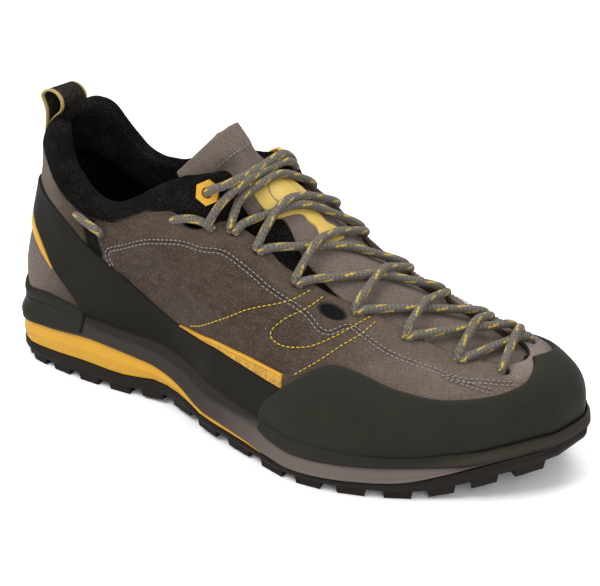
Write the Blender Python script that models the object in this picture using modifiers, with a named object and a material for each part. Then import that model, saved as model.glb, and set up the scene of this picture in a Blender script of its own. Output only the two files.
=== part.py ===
"""Low approach shoe for the right foot, standing empty on its sole.

Metres, +Z up, +X to the toe, -Y to the lateral side. The origin is on the floor under the middle
of the heel seat. Everything is worked out from two functions: skin(), which is the outside of
midsole and upper, and sole_edge(), which is the outline of the sole.
"""

import math

import bmesh
import bpy
import numpy as np
from mathutils import Vector

# Driving sizes
LENGTH = 0.297            # heel to toe over the outsole
HEEL_SEAT = 0.044         # back of the heel to the middle of the heel seat
BALL_WIDTH = 0.108        # sole width at the ball
HEEL_WIDTH = 0.074        # sole width at the heel
COLLAR_HEIGHT = 0.110     # floor to the top of the counter at the back
INSTEP_HEIGHT = 0.104     # floor to the edge of the throat at the top eyelet
COLLAR_WIDTH = 0.068      # across the counter's top edge
DECK_HEIGHT = 0.036       # floor to the deck under the heel
TONGUE_HEIGHT = 0.136     # floor to the tip of the tongue
WEDGE_HEIGHT = 0.0255     # floor to the top of the heel wedge

# Walls, layers and clearances
WALL = 0.0022             # suede and lining of the upper
CLEARANCE = 0.0004        # between pieces that lie on each other
LUG_HEIGHT = 0.0042
LUG_SINK = 0.0008         # how far a lug's root reaches into the outsole
EDGE_EASE = 0.0010        # how much the edges of a sole layer are eased
FEATHER_INSET = 0.005     # upper's foot inside the sole's edge
INSOLE_THICKNESS = 0.0045
TONGUE_THICKNESS = 0.0042
TONGUE_GAP = 0.0017       # between the tongue and the inside of the upper
RAND_THICKNESS = 0.0020
RAND_LIFT = 0.0007        # over the suede, where the rand's rear edge curves
STRAP_THICKNESS = 0.0016
INSERT_THICKNESS = 0.0010
KEEPER_THICKNESS = 0.0018
KEEPER_LIFT = 0.0012      # over the tongue, which curves under it
LACE_RADIUS = 0.0022
LACE_GAP = 0.0005         # under the lace
LACE_REACH = 0.0040       # how wide a strip of the tongue lifts the lace
LACE_SHARES = (0.10, 0.22, 0.40, 0.60, 0.78, 0.90)
HEX_EYELET_WIDTH = 0.0105
HEX_EYELET_HOLE = 0.0052
HEX_EYELET_THICKNESS = 0.0018
LOOP_WIDTH = 0.017
LOOP_THICKNESS = 0.0018
LOOP_REACH = 0.012        # how far the pull loop stands over the collar
HEX_EYELET_LIFT = 0.0012  # over the collar's wing

# Mesh counts
RING_STEPS = 80           # stations round the shoe, shared by every ring and overlay
SKIN_ROWS = 10            # rows up the upper
SIDE_ROWS = 2             # rows of an overlay on the midsole's side
MIDSOLE_ROWS = (-1.0, -0.65, -0.30, 0.0)
MERGE = 0.00001           # points nearer than this are one

# Columns: t, x share of LENGTH, lateral and medial half width as shares of the sole's width
SOLE_OUTLINE = [
    (0.00, 0.000, 0.000, 0.000),
    (0.05, 0.008, 0.215, 0.200),
    (0.10, 0.034, 0.385, 0.365),
    (0.18, 0.100, 0.470, 0.450),
    (0.28, 0.205, 0.507, 0.470),
    (0.38, 0.316, 0.490, 0.430),
    (0.44, 0.384, 0.455, 0.345),
    (0.50, 0.458, 0.490, 0.315),
    (0.56, 0.532, 0.540, 0.335),
    (0.63, 0.620, 0.605, 0.390),
    (0.70, 0.704, 0.583, 0.421),
    (0.77, 0.788, 0.500, 0.421),
    (0.83, 0.848, 0.410, 0.394),
    (0.89, 0.906, 0.322, 0.343),
    (0.94, 0.953, 0.205, 0.278),
    (0.98, 0.988, 0.075, 0.176),
    (1.00, 1.000, -0.069, 0.069),
]
HEEL_WIDTH_UNTIL = 0.30   # shares of LENGTH between which the width goes from heel to ball
BALL_WIDTH_FROM = 0.45

# Columns: x share of LENGTH, underside of the lugs, top of the outsole, deck, as shares of DECK_HEIGHT
SOLE_LEVELS = [
    (0.000, 0.200, 0.300, 0.930),
    (0.026, 0.065, 0.290, 0.940),
    (0.069, 0.000, 0.290, 0.960),
    (0.172, 0.000, 0.330, 1.000),
    (0.260, 0.000, 0.300, 0.960),
    (0.314, 0.060, 0.345, 0.920),
    (0.383, 0.080, 0.310, 0.850),
    (0.456, 0.060, 0.270, 0.770),
    (0.525, 0.025, 0.225, 0.680),
    (0.569, 0.000, 0.205, 0.640),
    (0.726, 0.000, 0.205, 0.570),
    (0.799, 0.000, 0.250, 0.580),
    (0.848, 0.075, 0.360, 0.630),
    (0.902, 0.225, 0.520, 0.710),
    (0.951, 0.330, 0.620, 0.780),
    (1.000, 0.440, 0.680, 0.830),
]

# Columns: x share of LENGTH, top of the wedge as a share of WEDGE_HEIGHT
WEDGE_TOP = [
    (0.000, 0.835),
    (0.108, 0.930),
    (0.187, 1.000),
    (0.275, 0.890),
    (0.334, 0.765),
    (0.393, 0.610),
    (0.461, 0.500),
    (0.530, 0.400),
    (0.569, 0.335),
]
WEDGE_END = 0.585         # t where the wedge runs out

# Top edge of the upper, columns: t, x share of LENGTH, share of half COLLAR_WIDTH, height share
LATERAL_TOP = [
    (0.00, 0.038, 0.000, 1.000),
    (0.05, 0.049, 0.300, 1.005),
    (0.10, 0.077, 0.560, 0.975),
    (0.18, 0.128, 0.860, 0.880),
    (0.26, 0.192, 0.990, 0.812),
    (0.31, 0.241, 1.020, 0.822),
    (0.38, 0.319, 1.020, 0.925),
    (0.42, 0.368, 1.000, 0.955),
    (0.46, 0.417, 0.985, 0.965),
    (0.50, 0.456, 0.900, 0.995),
    (0.54, 0.500, 0.840, 0.930),
    (0.58, 0.549, 0.780, 0.820),
    (0.63, 0.608, 0.700, 0.745),
    (0.69, 0.682, 0.585, 0.680),
    (0.76, 0.755, 0.500, 0.600),
    (0.83, 0.814, 0.420, 0.555),
    (0.90, 0.873, 0.260, 0.530),
    (0.96, 0.900, 0.080, 0.530),
    (1.00, 0.905, -0.060, 0.535),
]
MEDIAL_TOP = [
    (0.00, 0.038, 0.000, 1.000),
    (0.05, 0.049, 0.300, 1.005),
    (0.10, 0.077, 0.560, 0.970),
    (0.18, 0.128, 0.840, 0.850),
    (0.26, 0.192, 0.950, 0.775),
    (0.31, 0.241, 0.980, 0.785),
    (0.38, 0.319, 0.990, 0.885),
    (0.42, 0.368, 0.980, 0.925),
    (0.46, 0.417, 0.970, 0.950),
    (0.50, 0.461, 0.930, 0.970),
    (0.54, 0.510, 0.880, 0.925),
    (0.58, 0.554, 0.800, 0.850),
    (0.63, 0.608, 0.700, 0.770),
    (0.69, 0.677, 0.600, 0.690),
    (0.76, 0.745, 0.530, 0.630),
    (0.83, 0.814, 0.480, 0.580),
    (0.90, 0.871, 0.330, 0.555),
    (0.96, 0.900, 0.160, 0.540),
    (1.00, 0.905, 0.060, 0.535),
]

# Bezier handles of the upper's profile, columns: t, low handle out (share of BALL_WIDTH) and up,
# high handle out (share of BALL_WIDTH) and down; up and down are shares of the profile's height
BULGE = [
    (0.00, 0.060, 0.300, 0.000, 0.350),
    (0.10, 0.060, 0.300, 0.000, 0.350),
    (0.22, 0.045, 0.320, 0.030, 0.380),
    (0.34, 0.040, 0.320, 0.060, 0.400),
    (0.44, 0.030, 0.330, 0.080, 0.330),
    (0.52, 0.030, 0.380, 0.110, 0.220),
    (0.60, 0.045, 0.420, 0.160, 0.130),
    (0.70, 0.060, 0.460, 0.170, 0.100),
    (0.80, 0.050, 0.520, 0.150, 0.070),
    (0.90, 0.040, 0.620, 0.150, 0.030),
    (1.00, 0.030, 0.700, 0.120, 0.000),
]

# Overlays lie between two edges on the skin, columns: t, low edge, high edge. An edge below zero
# is on the midsole's side (-1 at its foot), above zero on the upper (1 at its top edge).
TOE_RAND = [
    (0.572, -0.44, 0.04),
    (0.585, -0.53, 0.14),
    (0.607, -0.58, 0.26),
    (0.628, -0.60, 0.36),
    (0.649, -0.60, 0.47),
    (0.668, -0.58, 0.54),
    (0.690, -0.57, 0.55),
    (0.745, -0.52, 0.515),
    (0.800, -0.60, 0.49),
    (0.840, -0.78, 0.50),
    (0.875, -0.92, 0.54),
    (0.925, -0.97, 0.635),
    (0.954, -0.97, 0.72),
    (0.975, -0.97, 0.85),
    (1.000, -0.97, 0.95),
]
RAND_STATIONS = (0.580, 0.587)    # more stations where its rear edge climbs
HEEL_STRAP = [
    (0.000, 0.550, 0.760),
    (0.080, 0.580, 0.775),
    (0.128, 0.546, 0.800),
    (0.181, 0.399, 0.850),
    (0.225, 0.228, 0.835),
    (0.274, 0.035, 0.745),
    (0.314, 0.030, 0.635),
    (0.354, 0.030, 0.455),
    (0.390, 0.030, 0.297),
    (0.425, 0.030, 0.222),
    (0.490, 0.030, 0.232),
    (0.560, 0.030, 0.236),
]
HEEL_RAND = [
    (0.000, -0.90, 0.120),
    (0.110, -0.92, 0.085),
    (0.175, -0.92, 0.102),
    (0.225, -0.92, 0.070),
    (0.250, -0.92, 0.045),
]
HEEL_PIPING = [
    (0.000, 0.480, 0.535),
    (0.080, 0.500, 0.562),
    (0.128, 0.470, 0.528),
    (0.181, 0.360, 0.380),
]
SIDE_INSERT = [
    (0.430, 0.246, 0.258),
    (0.490, 0.256, 0.288),
    (0.559, 0.260, 0.324),
    (0.585, 0.268, 0.342),
]

# Collar pad, columns: t, rise over the upper's edge on the lateral and the medial side, lean
# inwards, thickness, as shares of COLLAR_HEIGHT
COLLAR = [
    (0.000, 0.125, 0.125, 0.020, 0.070),
    (0.060, 0.130, 0.155, 0.022, 0.070),
    (0.120, 0.120, 0.205, 0.030, 0.070),
    (0.160, 0.115, 0.200, 0.035, 0.070),
    (0.200, 0.105, 0.155, 0.035, 0.070),
    (0.250, 0.085, 0.130, 0.035, 0.066),
    (0.310, 0.075, 0.125, 0.035, 0.060),
    (0.370, 0.090, 0.115, 0.036, 0.050),
    (0.420, 0.155, 0.115, 0.040, 0.038),
    (0.460, 0.215, 0.140, 0.050, 0.030),
    (0.490, 0.215, 0.140, 0.055, 0.026),
    (0.505, 0.130, 0.080, 0.045, 0.024),
]
COLLAR_TUCK = 0.009       # how far the pad reaches down inside the upper

# Tongue over the throat, columns: t, hump over the throat's edges as a share of INSTEP_HEIGHT
TONGUE_HUMP = [
    (0.55, 0.112),
    (0.59, 0.100),
    (0.66, 0.075),
    (0.75, 0.045),
    (0.84, 0.028),
    (0.92, 0.012),
    (0.96, 0.006),
]
TONGUE_TUCK = 0.88        # how far down the upper's profile the tongue's edges reach

# Free top of the tongue, columns: height share of TONGUE_HEIGHT, centre x share of LENGTH,
# centre y, half width and sweep back of its edges as shares of COLLAR_WIDTH, drop of its edges
# as a share of TONGUE_HEIGHT
TONGUE_TOP = [
    (0.870, 0.432, -0.01, 0.250, 0.100, 0.080),
    (0.945, 0.408, -0.02, 0.285, 0.210, 0.110),
    (1.000, 0.391, -0.02, 0.260, 0.240, 0.140),
]

# Eyelets, columns: lateral t, medial t, place v on the upper
EYELETS = [
    (0.510, 0.510, 0.930),
    (0.545, 0.548, 0.930),
    (0.598, 0.598, 0.930),
    (0.668, 0.675, 0.920),
    (0.750, 0.748, 0.910),
    (0.836, 0.822, 0.880),
    (0.905, 0.890, 0.800),
]

# Stations along the tongue's solid
TONGUE_STATIONS = (
    0.000, 0.056, 0.111, 0.167, 0.222, 0.278, 0.333, 0.389, 0.444, 0.500, 0.556, 0.611,
    0.650, 0.685, 0.715, 0.745, 0.775, 0.805, 0.835, 0.860, 0.900, 0.950, 1.000,
)
TONGUE_COLUMNS = 9
KEEPER_COLUMNS = 7

# Plate that holds the laces on the tongue, with its tab, columns: place along the tongue, on its
# own stations, and both edges across it
KEEPER = [
    (0.685, 0.080, 0.340),
    (0.715, 0.000, 0.340),
    (0.745, -0.020, 0.290),
    (0.775, -0.270, 0.360),
    (0.805, -0.430, 0.430),
    (0.835, -0.450, 0.430),
    (0.860, -0.330, 0.300),
]

# Pull loop, columns: 0 from its outer or 1 from its inner leg, x and height over the collar as
# shares of LOOP_REACH
LOOP_PATH = [
    (0, -0.07, -1.77),
    (0, 0.00, -0.77),
    (0, 0.02, 0.00),
    (0, 0.18, 0.71),
    (0, 0.50, 1.00),
    (0, 0.79, 0.98),
    (1, -0.04, 0.58),
    (1, 0.04, 0.00),
    (1, 0.07, -0.42),
]

LUG_STATIONS = 17         # lugs along each side
LUG_REACH = 0.97          # station where the last lug ends
LUG_FILL = 0.66           # share of its pitch that a lug takes
LUG_DEPTH = 0.014         # how far a side lug reaches inwards
LUG_TAPER = 0.0009
INNER_LUG = 0.0065        # half size of the lugs in the middle
INNER_LUG_TURN = 20       # degrees
BALL_REST = (0.62, -0.10) # shares of LENGTH and BALL_WIDTH of the block under the ball

COLOURS = {
    "suede": ((0.21, 0.175, 0.155), 0.9),
    "rubber": ((0.022, 0.026, 0.024), 0.55),
    "outsole_rubber": ((0.016, 0.014, 0.013), 0.6),
    "grey_foam": ((0.115, 0.098, 0.100), 0.7),
    "yellow": ((0.88, 0.42, 0.035), 0.55),
    "mesh": ((0.012, 0.012, 0.013), 0.85),
    "lace": ((0.30, 0.27, 0.22), 0.8),
}


def curve(table, at, closed=False):
    """The smooth columns of a table at each place in `at`."""
    knots = np.array([row[0] for row in table])
    values = np.array([row[1:] for row in table])
    if closed:
        knots = np.concatenate([knots[-3:] - 1, knots, knots[:3] + 1])
        values = np.concatenate([values[-3:], values, values[:3]])
    slopes = np.gradient(values, knots, axis=0)
    at = np.clip(np.atleast_1d(np.asarray(at, dtype=float)), knots[0], knots[-1])
    low = np.clip(np.searchsorted(knots, at, side="right") - 1, 0, len(knots) - 2)
    width = (knots[low + 1] - knots[low])[:, None]
    s = (at - knots[low])[:, None] / width
    return (
        (1 + 2 * s) * (1 - s) ** 2 * values[low]
        + s * (1 - s) ** 2 * width * slopes[low]
        + s * s * (3 - 2 * s) * values[low + 1]
        + s * s * (s - 1) * width * slopes[low + 1]
    )


def ring_table(lateral, medial):
    """One closed table over u: down the lateral side to the toe at 0.5, back along the medial side."""
    forward = [(row[0] / 2, row[1], -row[2]) + tuple(row[3:]) for row in lateral]
    back = [(1 - row[0] / 2, row[1], row[2]) + tuple(row[3:]) for row in medial[-2:0:-1]]
    return forward + back


def share_of_way(value, start, end):
    """Smooth 0 to 1 between two values."""
    s = np.clip((value - start) / (end - start), 0, 1)
    return s * s * (3 - 2 * s)


SOLE_RING = ring_table(
    [(t, x, lateral) for t, x, lateral, medial in SOLE_OUTLINE],
    [(t, x, medial) for t, x, lateral, medial in SOLE_OUTLINE],
)
TOP_RING = ring_table(LATERAL_TOP, MEDIAL_TOP)


def station(u):
    """Share of the way from heel to toe, on either side."""
    u = np.atleast_1d(np.asarray(u, dtype=float)) % 1
    return np.where(u <= 0.5, 2 * u, 2 - 2 * u)


def sole_edge(u):
    """Outline of the sole, x and y."""
    ring = curve(SOLE_RING, np.atleast_1d(u) % 1, closed=True)
    width = HEEL_WIDTH + (BALL_WIDTH - HEEL_WIDTH) * share_of_way(
        ring[:, 0], HEEL_WIDTH_UNTIL, BALL_WIDTH_FROM)
    return np.stack([ring[:, 0] * LENGTH - HEEL_SEAT, ring[:, 1] * width], axis=1)


def outward(u, edge=sole_edge, step=0.004):
    """Level direction out of the outline."""
    along = edge(np.atleast_1d(u) + step)[:, :2] - edge(np.atleast_1d(u) - step)[:, :2]
    normal = np.stack([along[:, 1], -along[:, 0]], axis=1)
    return normal / np.linalg.norm(normal, axis=1, keepdims=True)


def inset_edge(u, inset):
    return sole_edge(u) - outward(u) * inset


def levels(x):
    """Underside of the lugs, top of the outsole and deck at a place along the shoe."""
    found = curve(SOLE_LEVELS, (x + HEEL_SEAT) / LENGTH) * DECK_HEIGHT
    found[:, 0] = np.maximum(found[:, 0], 0)
    return found


def wedge_top(x):
    """Top of the wedge, never under the outsole."""
    share = (x + HEEL_SEAT) / LENGTH
    top = curve(WEDGE_TOP, share)[:, 0] * WEDGE_HEIGHT
    return np.maximum(top, levels(x)[:, 1] + 0.0008)


def midsole_foot(x):
    """Underside of the midsole: over the wedge, then over the outsole."""
    share = (x + HEEL_SEAT) / LENGTH
    fade = share_of_way(share, WEDGE_TOP[-1][0], WEDGE_TOP[-1][0] + 0.05)
    over_outsole = levels(x)[:, 1] + CLEARANCE
    return np.maximum(wedge_top(x) * (1 - fade) + over_outsole * fade, over_outsole) + CLEARANCE


def feather(u):
    """Where the upper meets the deck."""
    xy = inset_edge(u, FEATHER_INSET)
    return np.column_stack([xy, levels(xy[:, 0])[:, 2]])


def top_edge(u):
    """Top edge of the upper round the collar and the throat."""
    ring = curve(TOP_RING, np.atleast_1d(u) % 1, closed=True)
    height = COLLAR_HEIGHT + (INSTEP_HEIGHT - COLLAR_HEIGHT) * share_of_way(station(u), 0.36, 0.50)
    return np.column_stack([
        ring[:, 0] * LENGTH - HEEL_SEAT,
        ring[:, 1] * COLLAR_WIDTH / 2,
        ring[:, 2] * height,
    ])


def skin(u, v):
    """The outside of the shoe at ring place u and height v: -1 to 0 midsole side, 0 to 1 upper."""
    u, v = np.broadcast_arrays(np.atleast_1d(np.asarray(u, dtype=float)), np.asarray(v, dtype=float))
    low = feather(u)
    high = top_edge(u)
    out = np.column_stack([outward(u), np.zeros(len(u))])
    rise = (high - low)[:, 2:]
    handles = curve(BULGE, station(u))
    up = np.array([[0.0, 0.0, 1.0]])
    near = low + out * handles[:, 0:1] * BALL_WIDTH + up * handles[:, 1:2] * rise
    far = high + out * handles[:, 2:3] * BALL_WIDTH - up * handles[:, 3:4] * rise
    s = np.clip(v, 0, 1)[:, None]
    upper = (1 - s) ** 3 * low + 3 * s * (1 - s) ** 2 * near + 3 * s * s * (1 - s) * far + s ** 3 * high
    down = np.clip(-v, 0, 1)[:, None]
    foot = np.column_stack([sole_edge(u), midsole_foot(sole_edge(u)[:, 0])])
    side = low + (foot - low) * np.concatenate([down ** 1.5, down ** 1.5, down], axis=1)
    return np.where(v[:, None] >= 0, upper, side)


def skin_normal(u, v, step=0.003):
    along = skin(u + step, v) - skin(u - step, v)
    climb = skin(u, np.asarray(v) + 2 * step) - skin(u, np.asarray(v) - 2 * step)
    normal = np.cross(along, climb)
    return normal / np.linalg.norm(normal, axis=1, keepdims=True)


def off_skin(u, v, lift):
    """A place that far outside the skin, or inside it where lift is negative."""
    u = np.atleast_1d(np.asarray(u, dtype=float))
    v = np.asarray(v) + np.zeros(len(u))
    return skin(u, v) + skin_normal(u, np.clip(v, -0.99, 0.99)) * lift


def both_sides(t):
    """Ring places for stations from lateral front, round the heel, to medial front."""
    t = np.asarray(t, dtype=float)
    return np.concatenate([t[::-1] / 2, 1 - t[t > 0] / 2]) if t[0] == 0 else t / 2


def stations(start, end):
    """Stations between two places, on the shared ring's own stations wherever it has one."""
    pitch = 2 / RING_STEPS
    inner = np.arange(math.floor(start / pitch) + 1, math.ceil(end / pitch)) * pitch
    inner = inner[(inner > start + pitch / 4) & (inner < end - pitch / 4)]
    return np.concatenate([[start], inner, [end]])


def material(name):
    colour, roughness = COLOURS[name]
    made = bpy.data.materials.get(name) or bpy.data.materials.new(name)
    made.use_nodes = True
    shader = made.node_tree.nodes["Principled BSDF"]
    shader.inputs["Base Color"].default_value = (*colour, 1)
    shader.inputs["Roughness"].default_value = roughness
    made.diffuse_color = (*colour, 1)
    return made


def add_object(name, build, look):
    """An object from a finished bmesh, its faces turned outwards."""
    bmesh.ops.recalc_face_normals(build, faces=build.faces)
    mesh = bpy.data.meshes.new(name)
    build.to_mesh(mesh)
    build.free()
    mesh.shade_smooth()
    mesh.set_sharp_from_angle(angle=math.radians(40))
    made = bpy.data.objects.new(name, mesh)
    made.data.materials.append(material(look))
    shoe.objects.link(made)
    return made


def loft(build, rings, close_ring):
    """Quads between rows of points; returns the rows of vertices."""
    rows = [[build.verts.new(point) for point in ring] for ring in rings]
    count = len(rows[0])
    for low, high in zip(rows, rows[1:]):
        for i in range(count if close_ring else count - 1):
            j = (i + 1) % count
            build.faces.new((low[i], low[j], high[j], high[i]))
    return rows


def fan_face(build, corners):
    """A face without the corners that fall together."""
    kept = [corner for i, corner in enumerate(corners) if corner is not corners[i - 1]]
    build.faces.new(kept)


def ladder(build, ring, lateral_count):
    """Close a ring with rungs between its lateral and medial sides."""
    lateral = ring[:lateral_count]
    medial = [ring[0]] + ring[:lateral_count - 1:-1]
    if len(medial) < lateral_count:
        medial.append(lateral[-1])
    for i in range(lateral_count - 1):
        fan_face(build, [lateral[i], lateral[i + 1], medial[i + 1], medial[i]])


def slab_ring(end):
    """Ring places for a slab that starts at the heel and ends at station `end`."""
    t = stations(0, end)
    medial = 1 - t[1:][::-1] / 2
    if end == 1:
        medial = medial[1:]
    return np.concatenate([t / 2, medial]), len(t)


def slab(name, rows_at, end, look):
    """A closed layer of the sole: rows_at(u) gives its rings from bottom to top."""
    u, lateral_count = slab_ring(end)
    build = bmesh.new()
    rows = loft(build, rows_at(u), close_ring=True)
    ladder(build, rows[0], lateral_count)
    ladder(build, rows[-1], lateral_count)
    return add_object(name, build, look)


def sole_row(u, inset, height_at):
    xy = inset_edge(u, inset)
    return np.column_stack([xy, height_at(xy[:, 0])])


def outsole_floor(x):
    return levels(x)[:, 0] + LUG_HEIGHT


def outsole_top(x):
    return levels(x)[:, 1]


def outsole_middle(x):
    return (outsole_floor(x) + outsole_top(x)) / 2


def make_outsole():
    def rows_at(u):
        return [
            sole_row(u, EDGE_EASE, outsole_floor),
            sole_row(u, 0, outsole_middle),
            sole_row(u, EDGE_EASE / 2, outsole_top),
        ]
    outsole = slab("outsole", rows_at, 1, "outsole_rubber")
    union = outsole.modifiers.new("tread", "BOOLEAN")
    union.operation = "UNION"
    union.object = make_lugs()
    union.solver = "EXACT"
    return outsole


def add_lug(build, corners):
    """A tapered block on four corners, its root in the outsole."""
    centre = np.mean(corners, axis=0)
    low = []
    high = []
    for corner in corners:
        reach = np.linalg.norm(corner - centre)
        foot = centre + (corner - centre) * (1 - LUG_TAPER / reach)
        low.append(build.verts.new((*foot, levels(foot[0])[0, 0])))
        high.append(build.verts.new((*corner, outsole_floor(corner[0])[0] + LUG_SINK)))
    build.faces.new(low[::-1])
    build.faces.new(high)
    for i in range(4):
        j = (i + 1) % 4
        build.faces.new((low[i], low[j], high[j], high[i]))


def side_lugs():
    """Corners of the lugs along both edges."""
    pitch = LUG_REACH / LUG_STATIONS
    for number in range(1, LUG_STATIONS):
        start = (number + (1 - LUG_FILL) / 2) * pitch
        end = (number + (1 + LUG_FILL) / 2) * pitch
        depth = LUG_DEPTH * (1 if number % 2 else 0.8)
        for u in (np.array([start, end]) / 2, 1 - np.array([start, end]) / 2):
            outer = inset_edge(u, 1.5 * EDGE_EASE)
            inner = inset_edge(u, depth)
            yield [outer[0], outer[1], inner[1], inner[0]]


def make_lugs():
    """The tread: side lugs along both edges and blocks in the middle."""
    build = bmesh.new()
    for corners in side_lugs():
        add_lug(build, corners)
    for x_share, y_share in inner_lugs():
        middle = np.array([x_share * LENGTH - HEEL_SEAT, y_share * BALL_WIDTH])
        turns = np.radians(INNER_LUG_TURN + 90 * np.arange(4))
        corners = middle + INNER_LUG * np.column_stack([np.cos(turns), np.sin(turns)])
        add_lug(build, list(corners))
    return as_cutter(add_object("tread_cutter", build, "outsole_rubber"))


def as_cutter(made):
    """Keep an object only for the Boolean that uses it."""
    shoe.objects.unlink(made)
    cutters.objects.link(made)
    made.hide_render = True
    made.display_type = "WIRE"
    return made


def inner_lugs():
    """Shares of LENGTH and BALL_WIDTH of the blocks in the middle of the sole."""
    places = [(0.085, 0.0), (HEEL_SEAT / LENGTH, 0.0), (0.210, 0.0), (0.265, 0.0), BALL_REST]
    for column, x_share in enumerate((0.56, 0.62, 0.68, 0.74, 0.80, 0.86)):
        shift = 0.0 if column % 2 else 0.085
        for row in (-1, 0, 1):
            y_share = row * 0.17 + shift - 0.10 * (0.92 - x_share) / 0.36 - 0.02
            if abs(row) == 1 and x_share > 0.83 or (column, row) == (1, 0):
                continue
            places.append((x_share, y_share))
    return places


def wedge_floor(x):
    return outsole_top(x) + CLEARANCE


def wedge_middle(x):
    return (wedge_floor(x) + wedge_top(x)) / 2


def make_wedge():
    def rows_at(u):
        return [
            sole_row(u, EDGE_EASE, wedge_floor),
            sole_row(u, 0, wedge_middle),
            sole_row(u, EDGE_EASE, wedge_top),
        ]
    return slab("heel_wedge", rows_at, WEDGE_END, "yellow")


def make_midsole():
    def rows_at(u):
        return [skin(u, np.full(len(u), v)) for v in MIDSOLE_ROWS]
    return slab("midsole", rows_at, 1, "grey_foam")


def make_insole():
    inset = FEATHER_INSET + WALL + CLEARANCE

    def over_deck(share):
        return lambda x: levels(x)[:, 2] + CLEARANCE + INSOLE_THICKNESS * share

    def rows_at(u):
        return [
            sole_row(u, inset + EDGE_EASE, over_deck(0)),
            sole_row(u, inset + EDGE_EASE / 2, over_deck(0.4)),
            sole_row(u, inset + EDGE_EASE, over_deck(1)),
        ]
    return slab("insole", rows_at, 1, "mesh")


def solidify(made, thickness, side):
    shell = made.modifiers.new("wall", "SOLIDIFY")
    shell.thickness = thickness
    shell.offset = side
    shell.use_even_offset = False


def make_upper():
    """The suede shell, open underneath and at the collar and throat."""
    u = np.arange(RING_STEPS) / RING_STEPS
    heights = np.linspace(0, 1, SKIN_ROWS + 1)
    build = bmesh.new()
    outside = [off_skin(u, v, 0) for v in heights]
    inside = [off_skin(u, v, -WALL) for v in heights]
    outside[0][:, 2] += CLEARANCE
    inside[0][:, 2] = outside[0][:, 2]
    loft(build, outside + inside[::-1] + [outside[0]], close_ring=True)
    bmesh.ops.remove_doubles(build, verts=build.verts, dist=MERGE)
    return add_object("upper", build, "suede")


def overlay(name, table, lift, thickness, look, sides="both", rows=5, extra=()):
    """A strip on the skin between the two edges of a table, `lift` off it.

    `extra` gives more stations where an edge climbs steeply.
    """
    t = np.union1d(stations(table[0][0], table[-1][0]), extra)
    if sides == "both" and table[0][0] == 0:
        u = both_sides(t)
    elif sides == "both":
        u = np.concatenate([t / 2, (1 - t[:-1] / 2)[::-1]])
    elif sides == "lateral":
        u = t / 2
    else:
        u = (1 - t / 2)[::-1]
    low, high = curve(table, station(u)).T
    if table[0][1] < 0:
        below = [low * (1 - k / SIDE_ROWS) for k in range(SIDE_ROWS)]
        above = [high * k / rows for k in range(rows + 1)]
        spans = below + above
    else:
        spans = [low + (high - low) * k / rows for k in range(rows + 1)]
    build = bmesh.new()
    inner = [off_skin(u, v, lift) for v in spans]
    outer = [off_skin(u, v, lift + thickness) for v in spans]
    around = inner + outer[::-1]
    sections = [[row[i] for row in around] for i in range(len(u))]
    made = loft(build, sections, close_ring=True)
    close_strip(build, made[0])
    close_strip(build, made[-1])
    return add_object(name, build, look)


def close_strip(build, end):
    """Quads over the end of a strip whose section runs out along one face and back on the other."""
    for k in range(len(end) // 2 - 1):
        build.faces.new((end[k], end[k + 1], end[-2 - k], end[-1 - k]))


def make_overlays():
    overlay("toe_rand", TOE_RAND, RAND_LIFT, RAND_THICKNESS, "rubber", rows=6, extra=RAND_STATIONS)
    overlay("heel_strap", HEEL_STRAP, CLEARANCE, STRAP_THICKNESS, "rubber", rows=4)
    overlay("heel_rand", HEEL_RAND, CLEARANCE, RAND_THICKNESS, "rubber", rows=2)
    overlay("heel_piping", HEEL_PIPING, CLEARANCE, INSERT_THICKNESS, "yellow", rows=1)
    for side in ("lateral", "medial"):
        name = "side_insert_" + side
        overlay(name, SIDE_INSERT, CLEARANCE, INSERT_THICKNESS, "yellow", side, rows=2)


def collar_size(u):
    """Rise, lean and thickness of the collar pad at one ring place."""
    lateral, medial, lean, pad = curve(COLLAR, station(u))[0] * COLLAR_HEIGHT
    return (medial if u % 1 > 0.5 else lateral), lean, pad


def collar_section(u):
    """Cross-section of the collar pad at one ring place, as inward and upward distances."""
    rise, lean, pad = collar_size(u)
    foot = WALL + CLEARANCE
    return [
        (CLEARANCE, CLEARANCE),
        (lean * 0.35, rise * 0.50),
        (lean * 0.80, rise * 0.88),
        (lean + pad * 0.25, rise),
        (lean + pad * 0.70, rise * 0.97),
        (lean + pad, rise * 0.80),
        (lean * 0.6 + pad * 1.1, rise * 0.30),
        (foot + pad * 0.9, -COLLAR_TUCK * 0.4),
        (foot + pad * 0.5, -COLLAR_TUCK),
        (foot + CLEARANCE, -COLLAR_TUCK * 0.9),
        (foot, CLEARANCE),
    ]


def make_collar():
    """The padded mesh collar with its two wings beside the tongue."""
    u_ring = both_sides(stations(0, COLLAR[-1][0]))
    edge = top_edge(u_ring)
    inward = -outward(u_ring, edge=top_edge)
    build = bmesh.new()
    sections = []
    for i, u in enumerate(u_ring):
        sections.append([
            (edge[i, 0] + inward[i, 0] * d, edge[i, 1] + inward[i, 1] * d, edge[i, 2] + h)
            for d, h in collar_section(u)
        ])
    rows = loft(build, sections, close_ring=True)
    build.faces.new(rows[0])
    build.faces.new(rows[-1][::-1])
    return add_object("collar", build, "mesh")


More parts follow.
